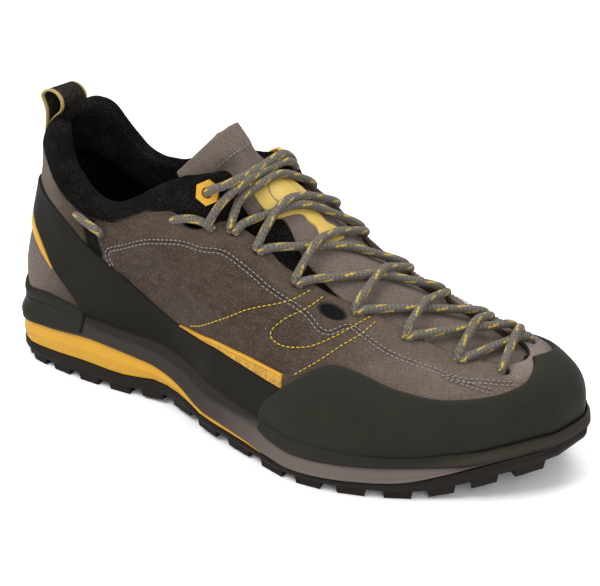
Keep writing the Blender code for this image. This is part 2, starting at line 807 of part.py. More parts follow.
def tongue_net():
    """Rows of five points across the tongue, from the toe to its tip."""
    rows = []
    depth = -(WALL + TONGUE_GAP)
    for t in np.linspace(TONGUE_HUMP[-1][0], TONGUE_HUMP[0][0], 11):
        u = np.array([t / 2, 1 - t / 2])
        tucked = off_skin(u, TONGUE_TUCK, depth)
        throat = off_skin(u, 0.985, depth)
        middle = throat.mean(axis=0)
        middle[2] += curve(TONGUE_HUMP, t)[0, 0] * INSTEP_HEIGHT
        rows.append([tucked[0], throat[0], middle, throat[1], tucked[1]])
    for height, x, y, half, sweep, drop in TONGUE_TOP:
        row = []
        for k in (-1.0, -0.55, 0.0, 0.55, 1.0):
            row.append(np.array([
                x * LENGTH - HEEL_SEAT - sweep * COLLAR_WIDTH * k * k,
                (y + half * k) * COLLAR_WIDTH,
                (height - drop * k * k) * TONGUE_HEIGHT,
            ]))
        rows.append(row)
    return np.array(rows)


def net_point(net, s, k):
    """A place on the tongue: s from toe to tip, k from the lateral (-1) to the medial edge (1)."""
    along = [tuple([i / (len(net) - 1)] + list(row.reshape(-1))) for i, row in enumerate(net)]
    row = curve(along, s)[0].reshape(5, 3)
    across = [tuple([place] + list(point)) for place, point in zip((-1, -0.55, 0, 0.55, 1), row)]
    return curve(across, k)[0]


def net_frame(net, s, k, lift):
    """That place lifted off the tongue."""
    along = net_point(net, min(s + 0.01, 1), k) - net_point(net, max(s - 0.01, 0), k)
    across = net_point(net, s, min(k + 0.05, 1)) - net_point(net, s, max(k - 0.05, -1))
    normal = np.cross(across, along)
    normal = normal / np.linalg.norm(normal)
    if normal[2] < 0:
        normal = -normal
    return net_point(net, s, k) + normal * lift


def sheet_on_tongue(name, table, columns, low, high, look):
    """A closed sheet that follows the tongue between two lifts.

    The table gives places along the tongue and the sheet's two edges there.
    """
    net = tongue_net()
    build = bmesh.new()
    sections = []
    for s, start, end in table:
        across = np.linspace(start, end, columns)
        top = [net_frame(net, s, k, high) for k in across]
        bottom = [net_frame(net, s, k, low) for k in across]
        sections.append(top + bottom[::-1])
    rows = loft(build, sections, close_ring=True)
    close_strip(build, rows[0])
    close_strip(build, rows[-1])
    return add_object(name, build, look)


def make_tongue():
    table = [(s, -1, 1) for s in TONGUE_STATIONS]
    return sheet_on_tongue("tongue", table, TONGUE_COLUMNS, -TONGUE_THICKNESS, 0, "suede")


def make_keeper():
    """The plate that holds the laces to the tongue."""
    return sheet_on_tongue("tongue_keeper", KEEPER, KEEPER_COLUMNS,
                           KEEPER_LIFT, KEEPER_LIFT + KEEPER_THICKNESS, "yellow")


def wing_frame(u):
    """The middle of the collar's wing at one ring place, and the way out of its face."""
    edge = top_edge(u)[0]
    inward = np.append(-outward(u, edge=top_edge)[0], 0)
    rise, lean, pad = collar_size(u)
    climb = inward * lean + np.array([0, 0, rise])
    along = np.array([-inward[1], inward[0], 0])
    face = np.cross(climb, along)
    face = face / np.linalg.norm(face)
    if face @ inward > 0:
        face = -face
    return edge + inward * lean * 0.55 + np.array([0, 0, rise * 0.62]), face


def make_hex_eyelet(name, u):
    """A six-sided plate with a round hole, on the wing of the collar."""
    place, face = wing_frame(u)
    reach = HEX_EYELET_WIDTH / 2 / math.cos(math.pi / 6)
    plate = tube_plug(name, reach, HEX_EYELET_THICKNESS, 6)
    hole = tube_plug(name + "_cutter", HEX_EYELET_HOLE / 2, HEX_EYELET_THICKNESS * 3, 16)
    for made in (plate, hole):
        made.location = place + face * (HEX_EYELET_THICKNESS / 2 + HEX_EYELET_LIFT)
        made.rotation_mode = "QUATERNION"
        made.rotation_quaternion = Vector(face).to_track_quat("Z", "Y")
    cut = plate.modifiers.new("hole", "BOOLEAN")
    cut.object = as_cutter(hole)
    cut.operation = "DIFFERENCE"
    return plate


def tube_plug(name, radius, depth, sides):
    build = bmesh.new()
    bmesh.ops.create_cone(build, cap_ends=True, segments=sides,
                          radius1=radius, radius2=radius, depth=depth)
    return add_object(name, build, "yellow")


def eyelet_places(lift):
    """Where the lace lies over each eyelet, lateral and medial."""
    lateral = [off_skin(np.array([row[0] / 2]), row[2], lift)[0] for row in EYELETS]
    medial = [off_skin(np.array([1 - row[1] / 2]), row[2], lift)[0] for row in EYELETS]
    return lateral, medial


def ground_under_lace():
    """Lowest places for the middle of the lace over the tongue and the throat's edges."""
    net = tongue_net()
    clear = LACE_RADIUS + LACE_GAP
    over_keeper = clear + KEEPER_LIFT + KEEPER_THICKNESS
    tongue = [net_frame(net, s, k, clear)
              for s in np.linspace(0, 0.87, 70) for k in np.linspace(-0.7, 0.7, 17)]
    keeper = [net_frame(net, s, k, over_keeper)
              for s in np.linspace(KEEPER[0][0], KEEPER[-1][0], 24)
              for k in np.linspace(-0.45, 0.45, 11)]
    u = np.concatenate([np.linspace(0.25, 0.47, 70), np.linspace(0.53, 0.75, 70)])
    edges = [off_skin(u, v, clear) for v in np.linspace(0.74, 0.985, 10)]
    rim = top_edge(u) + np.array([0, 0, clear])
    return np.concatenate([np.array(tongue), np.array(keeper), rim] + edges)


def lace_strand(name, start_lateral, ground):
    """One half of the lace, zigzag over the tongue from the top eyelet to the toe."""
    sides = eyelet_places(LACE_RADIUS + LACE_GAP)
    first_side = 0 if start_lateral else 1
    points = [sides[(number + first_side) % 2][number] for number in range(len(EYELETS))]
    spans = []
    for here, there in zip(points, points[1:]):
        spans.append([here + (there - here) * share for share in LACE_SHARES])
    route = list(spans[0])
    for eyelet, span in zip(points[1:], spans[1:]):
        route.append((route[-1] + span[0]) / 4 + eyelet / 2)
        route += span
    return wire(name, [lifted(place, ground) for place in route], LACE_RADIUS, "lace")


def lifted(place, ground):
    """The place, raised off what lies under it."""
    near = np.hypot(ground[:, 0] - place[0], ground[:, 1] - place[1]) < LACE_REACH
    if near.any():
        place[2] = max(place[2], ground[near, 2].max())
    return place


def wire(name, points, radius, look):
    data = bpy.data.curves.new(name, "CURVE")
    data.dimensions = "3D"
    data.bevel_depth = radius
    data.bevel_resolution = 1
    data.use_fill_caps = True
    data.resolution_u = 1
    spline = data.splines.new("POLY")
    spline.points.add(len(points) - 1)
    for place, point in zip(spline.points, points):
        place.co = (*point, 1)
    made = bpy.data.objects.new(name, data)
    shoe.objects.link(made)
    bpy.context.view_layer.update()
    graph = bpy.context.evaluated_depsgraph_get()
    mesh = bpy.data.meshes.new_from_object(made.evaluated_get(graph))
    build = bmesh.new()
    build.from_mesh(mesh)
    bmesh.ops.remove_doubles(build, verts=build.verts, dist=MERGE)
    bpy.data.objects.remove(made)
    return add_object(name, build, look)


def make_lace():
    """Both strands, joined where they cross."""
    ground = ground_under_lace()
    first = lace_strand("lace", True, ground)
    union = first.modifiers.new("crossings", "BOOLEAN")
    union.operation = "UNION"
    union.object = as_cutter(lace_strand("lace_cutter", False, ground))
    return first


def make_pull_loop():
    """The webbing loop that stands over the back of the collar."""
    back = top_edge(0.0)[0]
    rise, lean, pad = collar_size(0.0)
    near = np.linspace(-0.08, 0.08, 65)
    inside = top_edge(near)[:, :2] - outward(near, edge=top_edge) * (lean + pad * 1.05)
    behind_loop = inside[np.abs(inside[:, 1]) < LOOP_WIDTH / 2 + CLEARANCE]
    legs = (
        back[0] - LOOP_THICKNESS / 2 - CLEARANCE,
        behind_loop[:, 0].max() + LOOP_THICKNESS / 2 + 2 * CLEARANCE,
    )
    path = [(legs[leg] + x * LOOP_REACH, back[2] + rise + z * LOOP_REACH) for leg, x, z in LOOP_PATH]
    build = bmesh.new()
    rows = [[(x, y, z) for x, z in path] for y in (-LOOP_WIDTH / 2, LOOP_WIDTH / 2)]
    loft(build, rows, close_ring=False)
    made = add_object("pull_loop", build, "mesh")
    solidify(made, LOOP_THICKNESS, 0)
    return made


for old in list(bpy.data.objects):
    bpy.data.objects.remove(old)
shoe = bpy.data.collections.new("approach_shoe")
cutters = bpy.data.collections.new("cutters")
bpy.context.scene.collection.children.link(shoe)
bpy.context.scene.collection.children.link(cutters)

make_outsole()
make_wedge()
make_midsole()
make_insole()
make_upper()
make_collar()
make_tongue()
make_overlays()
make_keeper()
make_hex_eyelet("hex_eyelet_lateral", 0.23)
make_hex_eyelet("hex_eyelet_medial", 0.77)
make_lace()
make_pull_loop()
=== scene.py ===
"""Looks of the approach shoe: dense skins, panels, seams, lacing and materials round its solids.

Metres, +Z up, +X to the toe, -Y to the lateral side, as in the part's source. The tables of the sole,
the bulge and the top lines are the source's. The outlines of panels, keeper and loop are finer here,
and the collar, the tongue's top and the sizes of keeper, lace and loop have values of their own.
"""

import math

import bpy
import numpy as np
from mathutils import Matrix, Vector
from mathutils.bvhtree import BVHTree


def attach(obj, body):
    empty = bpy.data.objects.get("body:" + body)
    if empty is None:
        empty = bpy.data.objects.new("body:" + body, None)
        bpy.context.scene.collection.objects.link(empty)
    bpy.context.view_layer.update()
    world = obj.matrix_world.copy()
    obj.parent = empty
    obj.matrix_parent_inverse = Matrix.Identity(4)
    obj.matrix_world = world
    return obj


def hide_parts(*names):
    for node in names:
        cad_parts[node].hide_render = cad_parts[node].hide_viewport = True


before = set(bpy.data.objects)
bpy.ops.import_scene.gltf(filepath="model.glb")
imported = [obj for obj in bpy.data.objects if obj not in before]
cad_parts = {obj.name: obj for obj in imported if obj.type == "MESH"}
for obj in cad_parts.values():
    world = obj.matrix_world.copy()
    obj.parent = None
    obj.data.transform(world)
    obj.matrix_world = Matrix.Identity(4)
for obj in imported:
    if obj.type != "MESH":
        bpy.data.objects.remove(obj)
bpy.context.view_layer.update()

# Driving sizes
LENGTH = 0.297            # heel to toe over the outsole
HEEL_SEAT = 0.044         # back of the heel to the middle of the heel seat
BALL_WIDTH = 0.108        # sole width at the ball
HEEL_WIDTH = 0.074        # sole width at the heel
COLLAR_HEIGHT = 0.110     # floor to the top of the counter at the back
INSTEP_HEIGHT = 0.104     # floor to the edge of the throat at the top eyelet
COLLAR_WIDTH = 0.068      # across the counter's top edge
DECK_HEIGHT = 0.036       # floor to the deck under the heel
TONGUE_HEIGHT = 0.136     # floor to the tip of the tongue
WEDGE_HEIGHT = 0.0255     # floor to the top of the heel wedge

# Walls, layers and clearances
WALL = 0.0022             # suede and lining of the upper
CLEARANCE = 0.0004        # between pieces that lie on each other
FEATHER_INSET = 0.005     # upper's foot inside the sole's edge
TONGUE_THICKNESS = 0.0042
TONGUE_GAP = 0.0017       # between the tongue and the inside of the upper
KEEPER_THICKNESS = 0.0013
KEEPER_LIFT = 0.0004
LACE_RADIUS = 0.0020
LOOP_WIDTH = 0.0162
LOOP_THICKNESS = 0.0012
LOOP_HEIGHT = 0.025       # how far the pull loop stands over the suede
LOOP_SIDE = 0.0065        # its middle, medial of the heel's back
LOOP_TURN = 14            # degrees it follows the counter round

# Columns: t, x share of LENGTH, lateral and medial half width as shares of the sole's width
SOLE_OUTLINE = [
    (0, 0, 0, 0), (0.05, 0.008, 0.215, 0.2), (0.1, 0.034, 0.385, 0.365), (0.18, 0.1, 0.47, 0.45),
    (0.28, 0.205, 0.507, 0.47), (0.38, 0.316, 0.49, 0.43), (0.44, 0.384, 0.455, 0.345),
    (0.5, 0.458, 0.49, 0.315), (0.56, 0.532, 0.54, 0.335), (0.63, 0.62, 0.605, 0.39),
    (0.7, 0.704, 0.583, 0.421), (0.77, 0.788, 0.5, 0.421), (0.83, 0.848, 0.41, 0.394),
    (0.89, 0.906, 0.322, 0.343), (0.94, 0.953, 0.205, 0.278), (0.98, 0.988, 0.075, 0.176),
    (1, 1, -0.069, 0.069),
]
HEEL_WIDTH_UNTIL = 0.30   # shares of LENGTH between which the width goes from heel to ball
BALL_WIDTH_FROM = 0.45

# Columns: x share of LENGTH, underside of the lugs, top of the outsole, deck, as shares of DECK_HEIGHT
SOLE_LEVELS = [
    (0, 0.2, 0.3, 0.93), (0.026, 0.065, 0.29, 0.94), (0.069, 0, 0.29, 0.96), (0.172, 0, 0.33, 1),
    (0.26, 0, 0.3, 0.96), (0.314, 0.06, 0.345, 0.92), (0.383, 0.08, 0.31, 0.85),
    (0.456, 0.06, 0.27, 0.77), (0.525, 0.025, 0.225, 0.68), (0.569, 0, 0.205, 0.64),
    (0.726, 0, 0.205, 0.57), (0.799, 0, 0.25, 0.58), (0.848, 0.075, 0.36, 0.63),
    (0.902, 0.225, 0.52, 0.71), (0.951, 0.33, 0.62, 0.78), (1, 0.44, 0.68, 0.83),
]

# Columns: x share of LENGTH, top of the wedge as a share of WEDGE_HEIGHT
WEDGE_TOP = [
    (0, 0.835), (0.108, 0.93), (0.187, 1), (0.275, 0.89), (0.334, 0.765), (0.393, 0.61),
    (0.461, 0.5), (0.53, 0.4), (0.569, 0.335),
]

# Top edge of the upper, columns: t, x share of LENGTH, share of half COLLAR_WIDTH, height share
LATERAL_TOP = [
    (0, 0.038, 0, 1), (0.05, 0.049, 0.3, 1.005), (0.1, 0.077, 0.56, 0.975),
    (0.18, 0.128, 0.86, 0.88), (0.26, 0.192, 0.99, 0.812), (0.31, 0.241, 1.02, 0.822),
    (0.38, 0.319, 1.02, 0.925), (0.42, 0.368, 1, 0.955), (0.46, 0.417, 0.985, 0.965),
    (0.5, 0.456, 0.9, 0.995), (0.54, 0.5, 0.84, 0.93), (0.58, 0.549, 0.78, 0.82),
    (0.63, 0.608, 0.7, 0.745), (0.69, 0.682, 0.585, 0.68), (0.76, 0.755, 0.5, 0.6),
    (0.83, 0.814, 0.42, 0.555), (0.9, 0.873, 0.26, 0.53), (0.96, 0.9, 0.08, 0.53),
    (1, 0.905, -0.06, 0.535),
]
MEDIAL_TOP = [
    (0, 0.038, 0, 1), (0.05, 0.049, 0.3, 1.005), (0.1, 0.077, 0.56, 0.97),
    (0.18, 0.128, 0.84, 0.85), (0.26, 0.192, 0.95, 0.775), (0.31, 0.241, 0.98, 0.785),
    (0.38, 0.319, 0.99, 0.885), (0.42, 0.368, 0.98, 0.925), (0.46, 0.417, 0.97, 0.95),
    (0.5, 0.461, 0.93, 0.97), (0.54, 0.51, 0.88, 0.925), (0.58, 0.554, 0.8, 0.85),
    (0.63, 0.608, 0.7, 0.77), (0.69, 0.677, 0.6, 0.69), (0.76, 0.745, 0.53, 0.63),
    (0.83, 0.814, 0.48, 0.58), (0.9, 0.871, 0.33, 0.555), (0.96, 0.9, 0.16, 0.54),
    (1, 0.905, 0.06, 0.535),
]

# Bezier handles of the upper's profile, columns: t, low handle out (share of BALL_WIDTH) and up,
# high handle out (share of BALL_WIDTH) and down; up and down are shares of the profile's height
BULGE = [
    (0, 0.06, 0.3, 0, 0.35), (0.1, 0.06, 0.3, 0, 0.35), (0.22, 0.045, 0.32, 0.03, 0.38),
    (0.34, 0.04, 0.32, 0.06, 0.4), (0.44, 0.03, 0.33, 0.08, 0.33), (0.52, 0.03, 0.38, 0.11, 0.22),
    (0.6, 0.045, 0.42, 0.16, 0.13), (0.7, 0.06, 0.46, 0.17, 0.1), (0.8, 0.05, 0.52, 0.15, 0.07),
    (0.9, 0.04, 0.62, 0.15, 0.03), (1, 0.03, 0.7, 0.12, 0),
]

# Overlays lie between two edges on the skin, columns: t, low edge, high edge. An edge below zero
# is on the midsole's side (-1 at its foot), above zero on the upper (1 at its top edge).
TOE_RAND = [
    (0.572, -0.44, 0.04), (0.585, -0.53, 0.14), (0.607, -0.565, 0.26), (0.628, -0.575, 0.36),
    (0.649, -0.566, 0.47), (0.668, -0.56, 0.54), (0.69, -0.545, 0.55), (0.745, -0.515, 0.515),
    (0.775, -0.51, 0.502), (0.8, -0.58, 0.49), (0.84, -0.76, 0.5), (0.875, -0.91, 0.54),
    (0.925, -0.97, 0.635), (0.954, -0.97, 0.72), (0.975, -0.97, 0.85), (1, -0.97, 0.95),
]
HEEL_STRAP = [
    (0, 0.55, 0.76), (0.08, 0.565, 0.785), (0.115, 0.548, 0.803), (0.143, 0.524, 0.828),
    (0.166, 0.464, 0.848), (0.19, 0.372, 0.855), (0.208, 0.306, 0.85), (0.226, 0.215, 0.838),
    (0.24, 0.105, 0.819), (0.251, -0.02, 0.802), (0.264, -0.11, 0.778), (0.279, -0.12, 0.741),
    (0.299, -0.12, 0.693), (0.317, -0.12, 0.632), (0.334, -0.12, 0.56), (0.349, -0.12, 0.483),
    (0.363, -0.12, 0.409), (0.377, -0.12, 0.343), (0.392, -0.12, 0.294), (0.408, -0.12, 0.259),
    (0.426, -0.12, 0.238), (0.445, -0.12, 0.245), (0.465, -0.12, 0.254), (0.484, -0.12, 0.252),
    (0.501, -0.12, 0.243), (0.516, -0.12, 0.24), (0.532, -0.12, 0.243), (0.548, -0.12, 0.25),
    (0.563, -0.12, 0.259), (0.579, -0.12, 0.27), (0.61, -0.12, 0.281),
]
HEEL_RAND = [
    (0, -0.9, 0.12), (0.11, -0.92, 0.085), (0.175, -0.92, 0.102), (0.225, -0.92, 0.07),
    (0.25, -0.92, 0.045),
]
HEEL_PIPING = [
    (0, 0.48, 0.535), (0.08, 0.5, 0.556), (0.12, 0.48, 0.536), (0.159, 0.42, 0.466),
    (0.185, 0.36, 0.38),
]
SIDE_INSERT = [
    (0.426, 0.234, 0.24), (0.447, 0.246, 0.264), (0.468, 0.254, 0.281), (0.493, 0.247, 0.283),
    (0.51, 0.241, 0.284), (0.528, 0.242, 0.292), (0.546, 0.249, 0.308), (0.563, 0.259, 0.327),
    (0.58, 0.271, 0.346), (0.598, 0.279, 0.36), (0.613, 0.282, 0.366),
]

# Collar pad, columns: t, rise over the upper's edge on the lateral and the medial side, lean
# inwards, thickness, as shares of COLLAR_HEIGHT
COLLAR = [
    (0, 0.125, 0.125, 0.07, 0.07), (0.06, 0.13, 0.155, 0.06, 0.07),
    (0.12, 0.12, 0.225, 0.045, 0.07), (0.16, 0.115, 0.25, 0.037, 0.07),
    (0.2, 0.105, 0.2, 0.035, 0.07), (0.25, 0.085, 0.145, 0.035, 0.066),
    (0.31, 0.075, 0.125, 0.035, 0.06), (0.37, 0.09, 0.115, 0.036, 0.05),
    (0.42, 0.155, 0.115, 0.04, 0.038), (0.46, 0.2, 0.14, 0.05, 0.03),
    (0.49, 0.19, 0.14, 0.055, 0.026), (0.505, 0.13, 0.08, 0.045, 0.024),
]
COLLAR_TUCK = 0.009       # how far the pad reaches down inside the upper

# Tongue over the throat, columns: t, hump over the throat's edges as a share of INSTEP_HEIGHT
TONGUE_HUMP = [
    (0.55, 0.112), (0.59, 0.1), (0.66, 0.075), (0.75, 0.045), (0.84, 0.028), (0.92, 0.012),
    (0.96, 0.006),
]
TONGUE_TUCK = 0.88        # how far down the upper's profile the tongue's edges reach

# Free top of the tongue, columns: height share of TONGUE_HEIGHT, centre x share of LENGTH,
# centre y, half width and sweep back of its edges as shares of COLLAR_WIDTH, drop of its edges
# as a share of TONGUE_HEIGHT
TONGUE_TOP = [
    (0.87, 0.432, -0.01, 0.25, 0.11, 0.08), (0.945, 0.408, -0.05, 0.275, 0.22, 0.12),
    (1, 0.391, -0.06, 0.265, 0.26, 0.15),
]
TONGUE_SQUARENESS = 4     # how late its edges sweep back and drop

# Plate that holds the laces on the tongue, with its tab, columns: place along the tongue and both
# edges across it
KEEPER = [
    (0.662, 0, 0.16), (0.672, -0.06, 0.22), (0.7, -0.06, 0.22), (0.714, -0.03, 0.15),
    (0.735, -0.05, 0.14), (0.755, -0.06, 0.13), (0.764, -0.12, 0.2), (0.775, -0.22, 0.27),
    (0.792, -0.31, 0.38), (0.808, -0.4, 0.5), (0.818, -0.44, 0.56), (0.828, -0.47, 0.42),
    (0.836, -0.44, 0.05),
]
KEEPER_RING = (0.796, 0.03, 0.0088, 0.0004)   # s, k, radius and half width of its groove

# Pull loop, columns: x from the back of the suede and height over its top edge as shares of
# LOOP_HEIGHT
LOOP_PATH = [
    (0.004, -0.04), (0.028, 0.156), (0.056, 0.348), (0.056, 0.54), (0.016, 0.68), (-0.024, 0.792),
    (0.016, 0.896), (0.16, 0.96), (0.32, 0.928), (0.424, 0.808), (0.436, 0.66), (0.376, 0.54),
    (0.256, 0.43), (0.168, 0.32), (0.104, 0.2), (0.072, 0.08), (0.06, -0.04),
]


def curve(table, at, closed=False):
    """The smooth columns of a table at each place in `at`."""
    knots = np.array([row[0] for row in table])
    values = np.array([row[1:] for row in table])
    if closed:
        knots = np.concatenate([knots[-3:] - 1, knots, knots[:3] + 1])
        values = np.concatenate([values[-3:], values, values[:3]])
    slopes = np.gradient(values, knots, axis=0)
    at = np.clip(np.atleast_1d(np.asarray(at, dtype=float)), knots[0], knots[-1])
    low = np.clip(np.searchsorted(knots, at, side="right") - 1, 0, len(knots) - 2)
    width = (knots[low + 1] - knots[low])[:, None]
    s = (at - knots[low])[:, None] / width
    return (
        (1 + 2 * s) * (1 - s) ** 2 * values[low]
        + s * (1 - s) ** 2 * width * slopes[low]
        + s * s * (3 - 2 * s) * values[low + 1]
        + s * s * (s - 1) * width * slopes[low + 1]
    )


def unit(vectors):
    return vectors / np.maximum(np.linalg.norm(vectors, axis=-1, keepdims=True), 1e-12)


def ring_table(lateral, medial):
    """One closed table over u: down the lateral side to the toe at 0.5, back along the medial side."""
    forward = [(row[0] / 2, row[1], -row[2]) + tuple(row[3:]) for row in lateral]
    back = [(1 - row[0] / 2, row[1], row[2]) + tuple(row[3:]) for row in medial[-2:0:-1]]
    return forward + back


def share_of_way(value, start, end):
    """Smooth 0 to 1 between two values."""
    s = np.clip((value - start) / (end - start), 0, 1)
    return s * s * (3 - 2 * s)


SOLE_RING = ring_table(
    [(t, x, lateral) for t, x, lateral, medial in SOLE_OUTLINE],
    [(t, x, medial) for t, x, lateral, medial in SOLE_OUTLINE],
)
TOP_RING = ring_table(LATERAL_TOP, MEDIAL_TOP)


def station(u):
    """Share of the way from heel to toe, on either side."""
    u = np.atleast_1d(np.asarray(u, dtype=float)) % 1
    return np.where(u <= 0.5, 2 * u, 2 - 2 * u)


def sole_edge(u):
    """Outline of the sole, x and y."""
    ring = curve(SOLE_RING, np.atleast_1d(u) % 1, closed=True)
    width = HEEL_WIDTH + (BALL_WIDTH - HEEL_WIDTH) * share_of_way(
        ring[:, 0], HEEL_WIDTH_UNTIL, BALL_WIDTH_FROM)
    return np.stack([ring[:, 0] * LENGTH - HEEL_SEAT, ring[:, 1] * width], axis=1)


def outward(u, edge=sole_edge, step=0.004):
    """Level direction out of the outline."""
    along = edge(np.atleast_1d(u) + step)[:, :2] - edge(np.atleast_1d(u) - step)[:, :2]
    return unit(np.stack([along[:, 1], -along[:, 0]], axis=1))


def levels(x):
    """Underside of the lugs, top of the outsole and deck at a place along the shoe."""
    found = curve(SOLE_LEVELS, (x + HEEL_SEAT) / LENGTH) * DECK_HEIGHT
    found[:, 0] = np.maximum(found[:, 0], 0)
    return found


def wedge_top(x):
    """Top of the wedge, never under the outsole."""
    share = (x + HEEL_SEAT) / LENGTH
    top = curve(WEDGE_TOP, share)[:, 0] * WEDGE_HEIGHT
    return np.maximum(top, levels(x)[:, 1] + 0.0008)


def midsole_foot(x):
    """Underside of the midsole: over the wedge, then over the outsole."""
    share = (x + HEEL_SEAT) / LENGTH
    fade = share_of_way(share, WEDGE_TOP[-1][0], WEDGE_TOP[-1][0] + 0.05)
    over_outsole = levels(x)[:, 1] + CLEARANCE
    return np.maximum(wedge_top(x) * (1 - fade) + over_outsole * fade, over_outsole) + CLEARANCE


def feather(u):
    """Where the upper meets the deck."""
    xy = sole_edge(u) - outward(u) * FEATHER_INSET
    return np.column_stack([xy, levels(xy[:, 0])[:, 2]])


def top_edge(u):
    """Top edge of the upper round the collar and the throat."""
    ring = curve(TOP_RING, np.atleast_1d(u) % 1, closed=True)
    height = COLLAR_HEIGHT + (INSTEP_HEIGHT - COLLAR_HEIGHT) * share_of_way(station(u), 0.36, 0.50)
    return np.column_stack([
        ring[:, 0] * LENGTH - HEEL_SEAT,
        ring[:, 1] * COLLAR_WIDTH / 2,
        ring[:, 2] * height,
    ])


def skin(u, v):
    """The outside of the shoe at ring place u and height v: -1 to 0 midsole side, 0 to 1 upper."""
    u, v = np.broadcast_arrays(np.atleast_1d(np.asarray(u, dtype=float)), np.asarray(v, dtype=float))
    low = feather(u)
    high = top_edge(u)
    out = np.column_stack([outward(u), np.zeros(len(u))])
    rise = (high - low)[:, 2:]
    handles = curve(BULGE, station(u))
    up = np.array([[0.0, 0.0, 1.0]])
    near = low + out * handles[:, 0:1] * BALL_WIDTH + up * handles[:, 1:2] * rise
    far = high + out * handles[:, 2:3] * BALL_WIDTH - up * handles[:, 3:4] * rise
    s = np.clip(v, 0, 1)[:, None]
    upper = (1 - s) ** 3 * low + 3 * s * (1 - s) ** 2 * near + 3 * s * s * (1 - s) * far + s ** 3 * high
    down = np.clip(-v, 0, 1)[:, None]
    foot = np.column_stack([sole_edge(u), midsole_foot(sole_edge(u)[:, 0])])
    side = low + (foot - low) * np.concatenate([down ** 1.5, down ** 1.5, down], axis=1)
    return np.where(v[:, None] >= 0, upper, side)


def skin_normal(u, v, step=0.003):
    along = skin(u + step, v) - skin(u - step, v)
    climb = skin(u, np.asarray(v) + 2 * step) - skin(u, np.asarray(v) - 2 * step)
    return unit(np.cross(along, climb))


def off_skin(u, v, lift):
    """A place that far outside the skin, or inside it where lift is negative."""
    u = np.atleast_1d(np.asarray(u, dtype=float))
    v = np.asarray(v) + np.zeros(len(u))
    return skin(u, v) + skin_normal(u, np.clip(v, -0.99, 0.99)) * lift


# Camera, as the photo was taken
VIEW_TURN = 30.0          # degrees from the side towards the toe
VIEW_RISE = 27.1          # degrees above the level
VIEW_DISTANCE = 0.90
VIEW_TARGET = (0.10895, 0.0, 0.05905)
VIEW_LENS = 114.97

# Finishing sizes
STITCH_RADIUS = 0.00030
STITCH_LENGTH = 0.0017
STITCH_PITCH = 0.0024
# Rings of a stitch, columns: share of its length, rise in radii, size in radii
STITCH_SHAPE = [(0, -0.9, 0.7), (0.14, 0.15, 0.95), (0.5, 0.55, 1), (0.86, 0.15, 0.95), (1, -0.9, 0.7)]
ROW_GAP = 0.0019          # between the two rows of a double seam
HOLE_DEPTH = 0.0015
EYELET_HOLE = 0.0026
PANEL_PITCH = 0.0011      # between the columns of a panel
ROLL = 0.0011             # rounding of a panel's edge
PANEL_SINK = 0.0006       # how far a panel's rim dips into the skin
RIM_DIP = 0.0008          # and the rim of a sheet on the tongue
SPAN_PITCH = 0.0011       # between the places of a lace span
HOLE_DIVE = 0.0034        # how far a lace end goes into its hole
PAIR_SHIFT = 0.0013       # of the two laces in a hole, from its middle
CORD_PITCH = 0.00042      # between the rings of the cord
CORD_SIDES = 24
BRAID_PITCH = 0.0052
BRAID_STRANDS = 5
TRACERS = 3               # yellow yarns in the lace
TRACER_TURN = 0.060       # along the cord for one turn of a yellow yarn
TRACER_PITCH = 0.0110     # between its dashes
TRACER_SHARE = 0.50       # of its length on which it shows
TRACER_WIDTH = 0.036      # half width as a share of the cord's round
SIDES = ("lateral", "medial")

# Seams and edges on the lateral side, columns: t, v
EYESTAY_SEAM = [
    (0.314, 0.65), (0.304, 0.745), (0.311, 0.798), (0.341, 0.812), (0.394, 0.815), (0.44, 0.838),
    (0.479, 0.818), (0.517, 0.785), (0.557, 0.777), (0.579, 0.788), (0.608, 0.79), (0.627, 0.765),
    (0.641, 0.718), (0.653, 0.716), (0.661, 0.76), (0.671, 0.812), (0.689, 0.789), (0.722, 0.748),
    (0.762, 0.742), (0.795, 0.735), (0.82, 0.712), (0.849, 0.702), (0.877, 0.722), (0.926, 0.69),
]
FRONT_SEAM = [(0.812, 0.700), (0.849, 0.672), (0.878, 0.625), (0.892, 0.600)]
YELLOW_SEAMS = [
    [
        (0.45, 0.3), (0.516, 0.442), (0.58, 0.708), (0.604, 0.835), (0.615, 0.96),
    ],
    [
        (0.63, 0.945), (0.626, 0.869), (0.618, 0.785), (0.604, 0.695), (0.592, 0.605),
        (0.587, 0.55), (0.594, 0.52), (0.613, 0.531), (0.639, 0.597), (0.659, 0.703), (0.672, 0.8),
        (0.69, 0.965),
    ],
    [
        (0.628, 0.4), (0.652, 0.533), (0.67, 0.667), (0.686, 0.792), (0.699, 0.965),
    ],
]
NOTCH = [(0.260, 0.990), (0.2635, 0.915), (0.272, 0.820), (0.2805, 0.730)]
VAMP_SEAM = [(0.922, 0.860), (0.935, 0.800), (0.952, 0.710)]

# Top edge of the suede as a share of v, columns: t, lateral, medial
EDGE_DIPS = [
    (0, 1, 1), (0.4, 1, 1), (0.414, 0.99, 0.995), (0.43, 0.935, 0.965), (0.45, 0.94, 0.965),
    (0.466, 0.985, 0.99), (0.48, 1, 1), (0.52, 0.985, 1), (0.543, 1, 0.97), (0.57, 0.98, 1),
    (0.598, 1, 0.965), (0.63, 0.985, 1), (0.672, 1, 0.96), (0.71, 0.985, 1), (0.745, 1, 0.96),
    (0.79, 0.985, 1), (0.83, 1, 0.96), (0.865, 0.99, 1), (0.9, 1, 0.97), (1, 1, 1),
]

# Eyelets the lace runs through, columns: lateral t and v, medial t and v
LACE_HOLES = [
    (0.47, 0.93, 0.508, 0.96), (0.505, 0.955, 0.545, 0.93), (0.543, 0.945, 0.6, 0.93),
    (0.596, 0.945, 0.677, 0.93), (0.672, 0.945, 0.745, 0.93), (0.742, 0.945, 0.822, 0.92),
    (0.836, 0.93, 0.886, 0.905), (0.908, 0.89, 0.914, 0.865),
]
